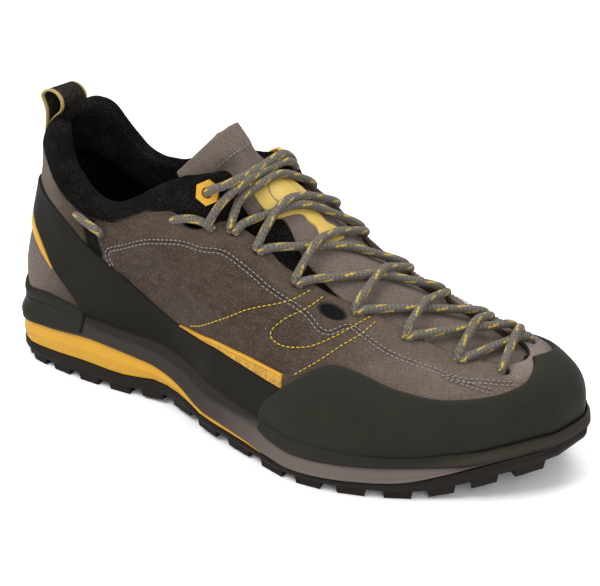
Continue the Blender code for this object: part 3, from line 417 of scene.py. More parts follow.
# Lace over the collar's wings, in the lateral scoop and over the notch, x, y, z in millimetres
TRACED_LACES = [
    [
        (80.2, -33.5, 100.6), (83, -35.6, 105.4), (86.1, -34.9, 111), (89, -32.6, 115.4),
        (91.9, -28.8, 119.3), (91.8, -19.9, 120.1), (90.3, -6.2, 117.9), (90.9, 5.4, 117.2),
        (91.7, 15, 116.8), (91.6, 22, 114), (92, 26.5, 108.8),
    ],
    [
        (79.7, -32.5, 116.5), (82.1, -35, 119), (85.6, -34.6, 120.8), (89, -31.5, 122.1),
        (90.6, -26.6, 122.7), (89.6, -16.1, 121), (88.9, -3.7, 119.7), (89.4, 7, 120.1),
        (90, 17, 119.8), (89.9, 24.5, 115.2), (90.7, 26, 111.8),
    ],
    [
        (60.3, -33, 98.8), (64.3, -35.3, 100.9), (70, -36, 103), (76.1, -36.3, 103.8),
        (80.6, -35.8, 102.9), (82.8, -33.5, 99.8),
    ],
    [
        (4.7, -31.5, 88.4), (8.8, -34.6, 88.8), (15.3, -36.9, 87.8), (21.8, -38.5, 86.4),
        (22.2, -36.5, 84.1),
    ],
]
# The same shorts on the medial side, columns: t, v
MEDIAL_SHORTS = [
    [(0.430, 0.955), (0.450, 0.965), (0.470, 0.935)],
    [(0.262, 0.985), (0.280, 0.925), (0.300, 0.900)],
]
CUT_OUT = (0.647, 0.870, 0.0072, 0.0040)  # oval hole: t, v, half sizes

# Soft creases of each side, columns: first t and v, last t and v, half width, depth (below zero a ridge)
CREASES = {
    "lateral": [
        (0.64, 0.3, 0.7, 0.66, 0.006, 0.00045), (0.7, 0.6, 0.735, 0.9, 0.005, 0.0005),
        (0.745, 0.58, 0.79, 0.88, 0.0055, -0.0004), (0.78, 0.55, 0.85, 0.72, 0.005, 0.00045),
        (0.54, 0.45, 0.61, 0.62, 0.007, 0.0005), (0.42, 0.45, 0.52, 0.62, 0.008, -0.0005),
        (0.34, 0.55, 0.43, 0.68, 0.007, 0.0005), (0.335, 0.86, 0.47, 0.9, 0.0045, -0.00045),
        (0.2, 0.9, 0.26, 0.94, 0.004, 0.0004), (0.12, 0.2, 0.24, 0.16, 0.006, 0.00045),
        (0.86, 0.6, 0.93, 0.8, 0.005, 0.0004),
    ],
    "medial": [
        (0.64, 0.35, 0.71, 0.7, 0.006, 0.0005), (0.72, 0.55, 0.78, 0.85, 0.0055, 0.00045),
        (0.52, 0.4, 0.6, 0.62, 0.008, 0.00055), (0.38, 0.5, 0.48, 0.66, 0.008, -0.0005),
        (0.3, 0.4, 0.4, 0.3, 0.007, 0.0005), (0.14, 0.55, 0.26, 0.7, 0.006, 0.00045),
        (0.8, 0.58, 0.88, 0.76, 0.005, 0.00045),
    ],
}

# Suede panels of the tongue, columns: place along it and both edges across it
TONGUE_FRONT = [
    (0.02, -0.72, 0.72), (0.25, -0.74, 0.74), (0.42, -0.7, 0.72), (0.52, -0.58, 0.7),
    (0.6, -0.44, 0.68), (0.7, -0.32, 0.64), (0.78, -0.22, 0.62), (0.85, -0.5, 0.6),
    (0.88, -0.66, 0.66),
]
TONGUE_CAP = [
    (0.8, -0.6, 0.6), (0.83, -0.8, 0.72), (0.87, -0.92, 0.8), (0.93, -0.97, 0.9),
    (0.965, -0.98, 0.95), (1, -0.96, 0.94),
]
CAP_SEAM = [(0.905, -0.84, 0.84), (0.915, -0.84, 0.84)]
NET_COLUMNS = (-1, -0.55, 0, 0.55, 1)

# Linear colours
TAUPE = (0.066, 0.047, 0.033)
TAUPE_DARK = (0.022, 0.0145, 0.0090)
TAUPE_PALE = (0.168, 0.137, 0.122)
RUBBER = (0.0105, 0.0110, 0.0075)
STRAP_BLACK = (0.0060, 0.0055, 0.0040)
RUBBER_BROWN = (0.026, 0.020, 0.016)
MAUVE = (0.098, 0.080, 0.073)
FOAM_DARK = (0.018, 0.0145, 0.0115)
SOLE_BLACK = (0.0095, 0.0075, 0.0065)
YELLOW = (0.450, 0.232, 0.013)
YELLOW_DEEP = (0.330, 0.155, 0.010)
KNIT = (0.0012, 0.0011, 0.0010)
KNIT_PALE = (0.0110, 0.0100, 0.0088)
CORD_GREY = (0.112, 0.100, 0.082)
CORD_VALLEY_SHADE = (0.034, 0.030, 0.024)
THREAD_GREY = (0.190, 0.168, 0.165)
THREAD_YELLOW = (0.430, 0.290, 0.030)
PIPING = (0.270, 0.205, 0.075)
KEEPER_YELLOW = (0.440, 0.300, 0.060)
# Painted shade in the keeper's pressed ring.
GROOVE_SHADE = (0.10, 0.07, 0.02)
WEAVE = (0.42, 0.225, 0.020)
WEAVE_DEEP = (0.30, 0.150, 0.015)
WEAVE_DOTS = (0.13, 0.075, 0.02)
WEBBING = (0.005, 0.0045, 0.004)
WEBBING_RIB = (0.022, 0.019, 0.014)
INK = (0.003, 0.003, 0.003)
FLOOR = (0.86, 0.86, 0.86)


# Shader helpers

class Look:
    """A material under construction: its nodes, with object coordinates in metres."""

    def __init__(self, name, roughness, specular=0.3, sheen=0.0, coat=0.0):
        self.made = bpy.data.materials.new(name)
        self.made.use_nodes = True
        self.nodes = self.made.node_tree.nodes
        self.links = self.made.node_tree.links
        self.shader = self.nodes["Principled BSDF"]
        self.fill(self.shader, {
            "Roughness": roughness, "Specular IOR Level": specular, "Sheen Weight": sheen,
            "Sheen Roughness": 0.5, "Coat Weight": coat,
        })
        self.place = self.add("TexCoord", {}, "Object")

    def fill(self, node, inputs):
        """Gives each input of a node a value or another node's output."""
        for socket, source in inputs.items():
            if isinstance(source, bpy.types.NodeSocket):
                self.links.new(source, node.inputs[socket])
            else:
                node.inputs[socket].default_value = source

    def add(self, kind, inputs, output, **settings):
        """One output of a new node."""
        node = self.nodes.new("ShaderNode" + kind)
        for label, setting in settings.items():
            setattr(node, label, setting)
        self.fill(node, inputs)
        return node.outputs[output]

    def stretched(self, stretch):
        if stretch is None:
            return self.place
        return self.add("Mapping", {"Scale": stretch, "Vector": self.place}, "Vector")

    def noise(self, scale, detail=3.0, rough=0.55, stretch=None):
        inputs = {"Scale": scale, "Detail": detail, "Roughness": rough, "Vector": self.stretched(stretch)}
        return self.add("TexNoise", inputs, "Fac")

    def cells(self, scale, stretch):
        return self.add("TexVoronoi", {"Scale": scale, "Vector": self.stretched(stretch)}, "Distance")

    def attribute(self, name):
        return self.add("Attribute", {}, "Fac", attribute_name=name)

    def steps(self, value, low, high):
        """0 at or below `low`, 1 at or over `high`."""
        inputs = {"From Min": low, "From Max": high, "Value": value}
        return self.add("MapRange", inputs, "Result", interpolation_type="SMOOTHSTEP")

    def maths(self, kind, first, second):
        return self.add("Math", {0: first, 1: second}, 0, operation=kind)

    def blend(self, share, first, second):
        """A colour from `first` to `second`; either may be a colour or another node's output."""
        first, second = [(*tone, 1) if isinstance(tone, tuple) else tone for tone in (first, second)]
        return self.add("Mix", {0: share, 6: first, 7: second}, 2, data_type="RGBA")

    def spots(self, tone, colour, share, scale, detail, rough, low, high, stretch=None):
        """The tone with spots of a colour, `share` strong, where a noise climbs from `low` to `high`."""
        where = self.steps(self.noise(scale, detail, rough, stretch), low, high)
        return self.blend(self.maths("MULTIPLY", where, share), tone, colour)

    def colour(self, output):
        self.fill(self.shader, {"Base Color": output})

    def bump(self, height, distance, strength=1.0):
        """Adds a layer of relief, `distance` metres high."""
        inputs = {"Distance": distance, "Strength": strength, "Height": height}
        below = self.shader.inputs["Normal"].links
        if below:
            inputs["Normal"] = below[0].from_socket
        self.fill(self.shader, {"Normal": self.add("Bump", inputs, "Normal")})


def shaded(colour, factor):
    return tuple(c * factor for c in colour)


def suede_look():
    look = Look("taupe_suede", 0.95, specular=0.06, sheen=0.06)
    # Darker tone, with painted shade along the seams, towards TAUPE_DARK.
    tone = look.blend(look.attribute("dark_tone_and_seam_shade"), TAUPE, TAUPE_DARK)
    tone = look.blend(look.attribute("pale"), tone, TAUPE_PALE)
    tone = look.spots(tone, TAUPE_DARK, 0.16, 60, 4, 0.62, 0.34, 0.68)
    tone = look.spots(tone, TAUPE_PALE, 0.10, 260, 3, 0.6, 0.32, 0.70, stretch=(0.6, 1, 1.2))
    tone = look.spots(tone, TAUPE_PALE, 0.34, 1250, 3, 0.75, 0.52, 0.66)
    tone = look.spots(tone, TAUPE_DARK, 0.65, 1500, 4, 0.8, 0.50, 0.62)
    look.colour(look.blend(look.attribute("hole"), tone, INK))
    look.bump(look.noise(260, 4, 0.65), 0.00026, 0.5)
    look.bump(look.noise(1500, 3, 0.75), 0.00016, 0.75)
    return look.made


def rubber_look(name, base, mottle=0.35, roughness=0.66):
    look = Look(name, roughness, specular=0.09)
    cloudy = look.steps(look.noise(70, 5, 0.6), 0.34, 0.70)
    tone = look.blend(look.maths("MULTIPLY", cloudy, mottle), base, shaded(base, 1.8))
    # Browner where the brown share is high; on the toe rand partly scuffing, partly painted sheen.
    tone = look.blend(look.attribute("brown"), tone, RUBBER_BROWN)
    look.colour(look.spots(tone, shaded(base, 2.4), 0.30, 850, 3, 0.75, 0.54, 0.74))
    uneven = look.maths("ADD", look.maths("MULTIPLY", cloudy, 0.14), roughness - 0.07)
    look.fill(look.shader, {"Roughness": uneven})
    look.bump(look.noise(1300, 3, 0.7), 0.00006, 0.6)
    return look.made


def foam_look():
    look = Look("midsole_foam", 0.75, specular=0.10)
    tone = look.spots(MAUVE, shaded(MAUVE, 0.75), 0.25, 60, 4, 0.6, 0.35, 0.70)
    tone = look.blend(look.attribute("brown"), tone, FOAM_DARK)
    look.colour(look.spots(tone, shaded(MAUVE, 1.5), 0.15, 1400, 2, 0.7, 0.62, 0.78))
    look.bump(look.noise(1200, 3, 0.7), 0.00005, 0.6)
    return look.made


def keeper_look():
    """Pale yellow plate with a plain ring pressed into it, the ring's groove in painted shade."""
    look = Look("keeper_yellow", 0.42, specular=0.3)
    tone = look.spots(KEEPER_YELLOW, YELLOW, 0.20, 900, 2, 0.7, 0.60, 0.78)
    look.colour(look.blend(look.attribute("groove_shade"), tone, GROOVE_SHADE))
    return look.made


def yellow_look(name, roughness, coat=0.0):
    look = Look(name, roughness, specular=0.35, coat=coat)
    tone = look.spots(YELLOW, YELLOW_DEEP, 0.22, 90, 4, 0.6, 0.35, 0.75)
    look.colour(look.spots(tone, YELLOW_DEEP, 0.20, 1000, 2, 0.7, 0.64, 0.78))
    look.bump(look.noise(900, 3, 0.6), 0.00005, 0.6)
    return look.made


def woven_look():
    """Yellow open weave with dark dots, on a diagonal."""
    look = Look("insert_weave", 0.6, specular=0.3)
    cell = look.cells(620, (1.0, 0.55, 1.0))
    dots = look.steps(cell, 0.36, 0.22)
    tone = look.blend(look.steps(look.noise(260, 3), 0.3, 0.7), WEAVE, WEAVE_DEEP)
    look.colour(look.blend(look.maths("MULTIPLY", dots, 0.75), tone, WEAVE_DOTS))
    look.bump(cell, 0.0003, 0.7)
    return look.made


def knit_look(name, scale, pale, strength):
    """Black knitted mesh: small cells with paler yarn between them."""
    look = Look(name, 0.95, specular=0.03)
    cell = look.cells(scale, (1.0, 1.0, 1.35))
    tone = look.blend(look.steps(cell, 0.25, 0.62), KNIT, pale)
    tone = look.blend(look.attribute("hole"), tone, INK)
    look.colour(look.blend(look.steps(look.noise(60, 3), 0.3, 0.8), tone, KNIT))
    look.bump(cell, 0.0006, strength)
    look.bump(look.noise(2200, 2, 0.7), 0.0001, 0.5)
    return look.made


def cord_look():
    look = Look("lace_cord", 0.8, specular=0.12, sheen=0.04)
    grain = look.noise(1800, 2, 0.7)
    valley_shade = look.attribute("valley_shade")
    # Painted shade: the cord darkens in the valleys between the braid's strands.
    tone = look.blend(valley_shade, CORD_GREY, CORD_VALLEY_SHADE)
    pale = look.blend(valley_shade, shaded(CORD_GREY, 1.35), CORD_VALLEY_SHADE)
    tone = look.blend(look.steps(grain, 0.35, 0.75), tone, pale)
    look.colour(look.blend(look.attribute("fleck"), tone, THREAD_YELLOW))
    look.bump(grain, 0.00008, 0.6)
    return look.made


def webbing_look():
    look = Look("loop_webbing", 0.82, specular=0.08)
    rib = look.steps(look.noise(1400, 2, 0.6, stretch=(1, 0.25, 1)), 0.35, 0.7)
    look.colour(look.blend(look.attribute("edge"), look.blend(rib, WEBBING, WEBBING_RIB), PIPING))
    look.bump(look.noise(1500, 2, 0.6, stretch=(1, 0.3, 1)), 0.00018, 0.8)
    return look.made


def thread_look(name, colour, roughness, grain=1500):
    look = Look(name, roughness)
    share = look.steps(look.noise(grain, 2, 0.7), 0.3, 0.8)
    look.colour(look.blend(share, colour, shaded(colour, 0.72)))
    look.bump(look.noise(grain * 1.6, 2, 0.7), 0.00008, 0.6)
    return look.made


# Mesh helpers

ground_meshes = []        # what the lace lies on: points and faces of each piece


def grid_faces(rows, columns, close_columns):
    here = np.arange(rows * columns).reshape(rows, columns)
    down = np.roll(here, -1, axis=0)
    across = np.roll(here, -1, axis=1)
    both = np.roll(down, -1, axis=1)
    last_column = columns if close_columns else columns - 1
    return np.stack([here, across, both, down], axis=2)[:-1, :last_column].reshape(-1, 4)


def add_piece(name, points, faces, look, attributes=None, ground=False, slot=None, replaces=None):
    """A mesh of the object, riding on its one body."""
    mesh = bpy.data.meshes.new(name)
    mesh.from_pydata(points.tolist(), [], faces.tolist())
    for label, values in (attributes or {}).items():
        layer = mesh.attributes.new(label, "FLOAT", "POINT")
        layer.data.foreach_set("value", np.asarray(values, dtype=np.float32).ravel())
    mesh.shade_smooth()
    mesh.update()
    piece = bpy.data.objects.new(name, mesh)
    piece.data.materials.append(LOOKS[look])
    bpy.context.scene.collection.objects.link(piece)
    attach(piece, "root")
    if replaces:
        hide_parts(replaces)
    if ground:
        ground_meshes.append((points, faces))
    return piece


def add_grid(name, grid, look, attributes=None, close_columns=False, **rest):
    faces = grid_faces(*grid.shape[:2], close_columns)
    return add_piece(name, grid.reshape(-1, 3), faces, look, attributes, **rest)


def grid_normals(grid, closed):
    """Normals of a grid of points: rows climb, columns run heel to toe on the lateral side."""
    if closed:
        along = np.roll(grid, -1, axis=1) - np.roll(grid, 1, axis=1)
    else:
        along = np.gradient(grid, axis=1)
    return unit(np.cross(along, np.gradient(grid, axis=0)))


def skin_grid(u, v):
    """Places on the skin for ring places u (one a column) and heights v (rows by columns)."""
    tiled = np.broadcast_to(u, v.shape)
    return skin(tiled.ravel(), v.ravel()).reshape(*v.shape, 3)


def arc_along(grid, axis):
    """Distance along the rows or columns of a grid, from its first one."""
    step = np.linalg.norm(np.diff(grid, axis=axis), axis=2)
    start = np.zeros_like(np.take(step, [0], axis=axis))
    return np.cumsum(np.concatenate([start, step], axis=axis), axis=axis)


def edge_distance(grid):
    """How far each place of a grid is from its rim, in metres."""
    across, along = arc_along(grid, 0), arc_along(grid, 1)
    near_rows = np.minimum(across, across[-1:] - across)
    return np.minimum(near_rows, np.minimum(along, along[:, -1:] - along))


def spread(count, fine=(0.004, 0.009, 0.016, 0.026, 0.040)):
    """Shares from 0 to 1, closer together at both ends."""
    fine = np.array(fine)
    return np.union1d(np.linspace(0, 1, count), np.concatenate([fine, 1 - fine]))


def rolled(distance, roll):
    """Height share of an edge rounded over `roll` metres."""
    share = np.clip(distance / roll, 0, 1)
    return np.sqrt(np.maximum(1 - (1 - share) ** 2, 0))


def soft_noise(points, pitch, seed):
    """Smooth unevenness between -1 and 1, waves about `pitch` metres long."""
    drawn = np.random.default_rng(seed)
    total = np.zeros(points.shape[:-1])
    for _ in range(7):
        way = drawn.normal(size=3)
        way = way / np.linalg.norm(way) * drawn.uniform(0.6, 1.5) * 2 * math.pi / pitch
        total += np.sin(points @ way + drawn.uniform(0, 2 * math.pi))
    return total / 4


def place_on_line(table, count):
    """Smooth t and v along given places."""
    numbered = [(i / (len(table) - 1), *row) for i, row in enumerate(table)]
    return curve(numbered, np.linspace(0, 1, count)).T


def ring_place(t, side):
    return np.asarray(t) / 2 if side == "lateral" else 1 - np.asarray(t) / 2


def line_on_skin(table, side, lift=0.0, count=80):
    t, v = place_on_line(table, count)
    return off_skin(ring_place(t, side), v, lift)


def distance_to_line(points, line):
    """Distance of each point to a polyline."""
    best = np.full(len(points), np.inf)
    for start, end in zip(line, line[1:]):
        way = end - start
        length = max(way @ way, 1e-12)
        share = np.clip((points - start) @ way / length, 0, 1)
        best = np.minimum(best, np.linalg.norm(points - start - share[:, None] * way, axis=1))
    return best


def near_line(points, line, reach):
    """Distance to a polyline where it is under `reach`, else `reach`."""
    low = line.min(axis=0) - reach
    high = line.max(axis=0) + reach
    inside = ((points > low) & (points < high)).all(axis=1)
    found = np.full(len(points), float(reach))
    if inside.any():
        found[inside] = np.minimum(distance_to_line(points[inside], line), reach)
    return found


def soft_trough(distance, half_width):
    """1 on the line, falling smoothly to 0."""
    share = np.clip(distance / half_width, 0, 1)
    return (1 - share * share) ** 2


# Panels on the skin

def panel_ring(table, side):
    """First and last ring place of a panel whose table runs from t to t."""
    start, end = table[0][0] / 2, table[-1][0] / 2
    if side == "medial":
        return 1 - end, 1 - start
    if side == "both" and start == 0:
        return -end, end
    if side == "both":
        return start, 1 - start
    return start, end


def panel(name, table, side, thickness, look, rows=40, roll=ROLL, fill=0, lift=0.0001,
          shade=None, relief=False, replaces=None):
    """A sheet on the skin between the edges of a table, its rim rolled down into the skin."""
    first, last = panel_ring(table, side)
    ring = skin(np.linspace(first, last, 200), 0.2)
    length = np.linalg.norm(np.diff(ring, axis=0), axis=1).sum()
    fine = ROLL / length * np.array([0.12, 0.3, 0.55, 0.85])
    u = first + (last - first) * spread(int(length / PANEL_PITCH), fine)
    low, high = curve(table, station(u)).T
    share = spread(rows)[:, None]
    v = low + (high - low) * share
    grid = skin_grid(u, v)
    normal = grid_normals(grid, closed=False)
    near = edge_distance(grid)
    height = lift + thickness * rolled(near, roll)
    if fill:
        height = height + hollow_fill(grid, normal, fill)
    if relief:
        height = height + 0.00012 * soft_noise(grid, 0.03, 21)
    height = np.where(near < 1e-6, -PANEL_SINK, height)
    attributes = {"brown": shade(grid, v, station(u))} if shade else None
    add_grid(name, grid + normal * height[:, :, None], look, attributes, ground=True, replaces=replaces)


def hollow_fill(grid, normal, passes):
    """How far a stretched sheet stands off the hollows it spans."""
    smooth = grid.copy()
    for _ in range(passes):
        smooth[1:-1] = (smooth[:-2] + smooth[2:]) / 2
    return np.maximum(((smooth - grid) * normal).sum(axis=2), 0)


# Upper

def edge_dip(u):
    dips = curve(EDGE_DIPS, station(u))
    return np.where(np.asarray(u) % 1 <= 0.5, dips[:, 0], dips[:, 1])


def hole_places():
    """Ring place, height and half sizes of every lace hole and cut-out."""
    lateral = [(row[0] / 2, row[1], EYELET_HOLE, EYELET_HOLE) for row in LACE_HOLES[1:]]
    medial = [(1 - row[2] / 2, row[3], EYELET_HOLE, EYELET_HOLE) for row in LACE_HOLES]
    t, *rest = CUT_OUT
    return lateral + medial + [(t / 2, *rest), (1 - t / 2, *rest)]


def hole_share(points, centre, along, half_along, half_up):
    """0 to 1 over an oval hole, with a narrow rim."""
    offset = points - centre
    lengthwise = offset @ along / half_along
    up = np.linalg.norm(offset - (offset @ along)[:, None] * along, axis=1) / half_up
    return 1 - share_of_way(np.hypot(lengthwise, up), 0.80, 1.12)


def skin_along(u, v):
    return unit(skin(u + 0.002, v)[0] - skin(u - 0.002, v)[0])


def upper_holes(points):
    holes = np.zeros(len(points))
    for u, v, half_along, half_up in hole_places():
        share = hole_share(points, skin(u, v)[0], skin_along(u, v), half_along, half_up)
        holes = np.maximum(holes, share)
    for side in SIDES:
        gap = near_line(points, line_on_skin(NOTCH, side), 0.008)
        holes = np.maximum(holes, 1 - share_of_way(gap, 0.0036, 0.0044))
    return holes


def seam_lines():
    """Every sewn line as places on the skin, with the half width of the dent it makes."""
    lines = []
    for side in SIDES:
        lines.append((line_on_skin(EYESTAY_SEAM, side, count=160), 0.0021, 0.00035))
        lines.append((line_on_skin(FRONT_SEAM, side), 0.0020, 0.00030))
        lines.append((line_on_skin(VAMP_SEAM, side), 0.0015, 0.00045))
        for seam in YELLOW_SEAMS:
            lines.append((line_on_skin(seam, side), 0.0013, 0.00025))
    return lines


def upper_relief(points):
    height = 0.00022 * soft_noise(points, 0.045, 5) + 0.00010 * soft_noise(points, 0.016, 6)
    for line, half_width, depth in seam_lines():
        height -= depth * soft_trough(near_line(points, line, 0.006), half_width)
    for side, creases in CREASES.items():
        for t0, v0, t1, v1, half_width, depth in creases:
            middle = ((t0 + t1) / 2 + 0.006, (v0 + v1) / 2 - 0.02)
            line = line_on_skin([(t0, v0), middle, (t1, v1)], side, count=24)
            height -= depth * soft_trough(near_line(points, line, 0.012), half_width)
    return height


def upper_tones(u, v, points):
    """Where the nap is paler and where it is darker and browner, with painted shade along the seam dents."""
    t = np.broadcast_to(station(u), v.shape).ravel()
    v = v.ravel()
    cloud = soft_noise(points, 0.05, 9)
    heel = 1 - share_of_way(t, 0.12, 0.24)
    front = share_of_way(t, 0.60, 0.80)
    pale = 0.36 * front * (1 - 0.5 * share_of_way(v, 0.70, 0.85) * (1 - share_of_way(t, 0.84, 0.92)))
    pale += share_of_way(t, 0.895, 0.935) * share_of_way(v, 0.66, 0.82) * 0.64
    pale += heel * (0.25 + 0.35 * (1 - share_of_way(v, 0.35, 0.6)))
    dark_tone_and_seam_shade = (1 - front) * (0.80 - 0.75 * heel)
    dark_tone_and_seam_shade -= 0.42 * share_of_way(v, 0.78, 0.86) * share_of_way(t, 0.30, 0.42)
    dark_tone_and_seam_shade += 0.12 * cloud
    # Painted shade: the suede darkens along the dents of the seams.
    seam = np.zeros(len(points))
    for line, half_width, depth in seam_lines():
        seam = np.maximum(seam, soft_trough(near_line(points, line, 0.006), half_width * 0.8))
    # Darker towards the top edge.
    edge = share_of_way(v, 0.965, 1.0)
    return np.clip(pale + 0.06 * cloud, 0, 1), np.clip(dark_tone_and_seam_shade + 0.30 * seam + 0.20 * edge, 0, 1)


def make_upper():
    columns = 700
    u = np.arange(columns) / columns
    rows = 104
    v = np.linspace(-0.012, 1, rows)[:, None] * edge_dip(u)
    grid = skin_grid(u, v)
    normal = grid_normals(grid, closed=True)
    points = grid.reshape(-1, 3)
    holes = upper_holes(points)
    height = (upper_relief(points) * (1 - holes) - HOLE_DEPTH * holes).reshape(rows, columns)
    outside = grid + normal * height[:, :, None]
    top = outside[-1]
    inward = -normal[-1]
    up = np.array([0, 0, 1.0])
    rim = [top + inward * WALL / 2 * (1 - math.cos(a)) + up * WALL / 2 * math.sin(a)
           for a in np.radians((35, 70, 110, 145, 180))]
    inner = [outside[row] - normal[row] * WALL for row in (-4, -11)]
    pale, dark_tone_and_seam_shade = upper_tones(u, v, points)
    extra = (len(rim) + len(inner)) * columns
    open_inside = 1 - share_of_way(station(u), 0.84, 0.89)
    attributes = {
        "pale": np.concatenate([pale, np.zeros(extra)]),
        "dark_tone_and_seam_shade": np.concatenate([dark_tone_and_seam_shade, np.full(extra, 0.5)]),
        "hole": np.concatenate([holes, np.zeros(len(rim) * columns), np.tile(open_inside, len(inner))]),
    }
    whole = np.concatenate([outside, np.array(rim), np.array(inner)])
    add_grid("suede_upper", whole, "suede", attributes, True, ground=True, slot="suede", replaces="upper")


def make_lining():
    """The black lining inside the suede, down to the insole."""
    u = np.linspace(0, 1, 240, endpoint=False)
    v = np.linspace(0.04, 0.95, 30)[:, None] * np.ones(240)
    grid = skin_grid(u, v)
    inside = grid - grid_normals(grid, closed=True) * WALL
    add_grid("lining", inside, "knit_fine", None, True, slot="mesh")


# Seams

def resample(line, pitch):
    arc = np.concatenate([[0], np.cumsum(np.linalg.norm(np.diff(line, axis=0), axis=1))])
    at = np.arange(0, arc[-1], pitch)
    return np.stack([np.interp(at, arc, line[:, k]) for k in range(3)], axis=1)


def stitch_rings(start, way, up):
    """Rings of one sewn stitch: its ends dip under the surface."""
    side = np.cross(way, up)
    turns = np.arange(6) * math.pi / 3
    round_it = np.outer(np.cos(turns), side) + np.outer(np.sin(turns), up)
    return [start + way * STITCH_LENGTH * share + up * STITCH_RADIUS * rise + size * STITCH_RADIUS * round_it
            for share, rise, size in STITCH_SHAPE]


def stitches(name, lines, look, slot):
    """One mesh of all the stitches of a thread along lines of (places, normals)."""
    points, faces = [], []
    strip = grid_faces(len(STITCH_SHAPE), 6, True)
    for line, normals in lines:
        for start, end, up in zip(line, line[1:], normals):
            faces.append(strip + len(points) * 6)
            points += stitch_rings(start, unit(end - start), up)
    add_piece(name, np.concatenate(points), np.concatenate(faces), look, slot=slot)


def skin_seam(table, side, shift=0.0):
    """A line of stitch places beside a listed line, `shift` metres up the skin from it."""
    t, v = place_on_line(table, 160)
    u = ring_place(t, side)
    line = skin(u, v)
    normal = skin_normal(u, v)
    across = unit(np.cross(normal, np.gradient(line, axis=0)))
    line = line + across * (shift if side == "lateral" else -shift)
    places = resample(line, STITCH_PITCH)
    nearest = [np.linalg.norm(line - place, axis=1).argmin() for place in places]
    return places, normal[nearest]


def make_seams():
    grey, yellow = [], []
    for side in SIDES:
        for shift in (-ROW_GAP / 2, ROW_GAP / 2):
            grey.append(skin_seam(EYESTAY_SEAM, side, shift))
            grey.append(skin_seam(FRONT_SEAM, side, shift))
        yellow += [skin_seam(seam, side) for seam in YELLOW_SEAMS]
    stitches("grey_seams", grey, "thread_grey", "suede")
    stitches("yellow_seams", yellow, "thread_yellow", "yellow")


# Rubber round the foot

def rand_shade(grid, v, t):
    # Lighter brown at the lower toe: partly scuffing, partly painted sheen.
    low = share_of_way(-v, 0.10, 0.70) * share_of_way(t, 0.74, 0.92)
    rim = 0.25 * (1 - share_of_way(edge_distance(grid), 0.0006, 0.0030))
    return np.clip(0.10 + low + rim + 0.16 * soft_noise(grid, 0.05, 3), 0, 1)


def band_shade(grid, v, t):
    """The band under the insert goes over into the midsole's colour."""
    fade = share_of_way(-v, -0.02, 0.11) * share_of_way(t, 0.25, 0.30)
    return np.clip(fade * 0.55 + 0.06 * soft_noise(grid, 0.04, 4), 0, 1)


def plain_shade(grid, v, t):
    return np.clip(0.10 + 0.12 * soft_noise(grid, 0.04, 8), 0, 1)


def make_rubber():
    panel("toe_rand_skin", TOE_RAND, "both", 0.0020, "rand", rows=64, roll=0.0016, fill=160,
          shade=rand_shade, relief=True, replaces="toe_rand")
    panel("heel_strap_skin", HEEL_STRAP, "both", 0.0011, "strap", rows=52, roll=0.0009, fill=60,
          shade=band_shade, relief=True, replaces="heel_strap")
    panel("heel_rand_skin", HEEL_RAND, "both", 0.0022, "rand", rows=36, roll=0.0020, fill=60,
          shade=plain_shade, replaces="heel_rand")


def make_trim():
    panel("heel_piping_skin", HEEL_PIPING, "both", 0.0009, "yellow", rows=8, roll=0.0006,
          replaces="heel_piping")
    edge = [(t, high - 0.013 * share_of_way(t, 0.43, 0.47), high + 0.005) for t, low, high in SIDE_INSERT]
    for side in SIDES:
        panel("side_insert_%s_skin" % side, SIDE_INSERT, side, 0.0007, "weave", rows=14, roll=0.0006,
              replaces="side_insert_" + side)
        panel("insert_edge_" + side, edge, side, 0.0013, "yellow", rows=8, roll=0.0006)


def make_midsole_side():
    """The midsole's side, dark under the strap, closed inwards over its top and under its foot."""
    columns, rows = 560, 34
    u = np.arange(columns) / columns
    v = np.linspace(-1.0, 0.03, rows)[:, None] * np.ones(columns)
    grid = skin_grid(u, v)
    normal = grid_normals(grid, closed=True)
    t = station(u)
    band = share_of_way(t, 0.24, 0.29) * (1 - share_of_way(t, 0.54, 0.64))
    dark = band * (1 - share_of_way(-v, 0.12, 0.66)) * 0.9
    flank = 0.86 * (1 - share_of_way(t, 0.44, 0.66)) + 0.9 * share_of_way(t, 0.82, 0.88)
    step = 0.0006 * share_of_way(-v, 0.84, 0.90)
    lift = step + 0.00008 * soft_noise(grid, 0.03, 12)
    brown = np.clip(dark + flank + 0.05 * soft_noise(grid, 0.05, 14), 0, 1)
    outside = grid + normal * lift[:, :, None]
    inward = np.column_stack([-outward(u), np.zeros(columns)]) * 0.008
    whole = np.concatenate([[outside[0] + inward], outside, [outside[-1] + inward]])
    attributes = {"brown": np.concatenate([brown[:1], brown, brown[-1:]])}
    add_grid("midsole_side", whole, "foam", attributes, True, slot="grey_foam", replaces="midsole")


# Collar

def collar_ring(u):
    """Smooth closed section of the collar pad at one ring place, as inward and upward distances."""
    rise, lean, pad = collar_size(u)
    foot = WALL + CLEARANCE
    corners = [
        (CLEARANCE, 0.0002),
        (lean * 0.35 - 0.0006, rise * 0.42),
        (lean * 0.80 - 0.0004, rise * 0.82),
        (lean + pad * 0.22, rise * 0.99),
        (lean + pad * 0.70, rise * 0.97),
        (lean + pad * 1.02, rise * 0.78),
        (lean * 0.6 + pad * 1.12, rise * 0.30),
        (foot + pad * 0.9, -COLLAR_TUCK * 0.4),
        (foot + pad * 0.5, -COLLAR_TUCK),
        (foot + CLEARANCE, -COLLAR_TUCK * 0.7),
        (foot, 0.0004),
    ]
    numbered = [(i / len(corners), *corner) for i, corner in enumerate(corners)]
    return curve(numbered, np.linspace(0, 1, 56, endpoint=False), closed=True)


def collar_size(u):
    """Rise, lean and thickness of the collar pad at one ring place."""
    lateral, medial, lean, pad = curve(COLLAR, station(u))[0] * COLLAR_HEIGHT
    return (medial if u % 1 > 0.5 else lateral), lean, pad


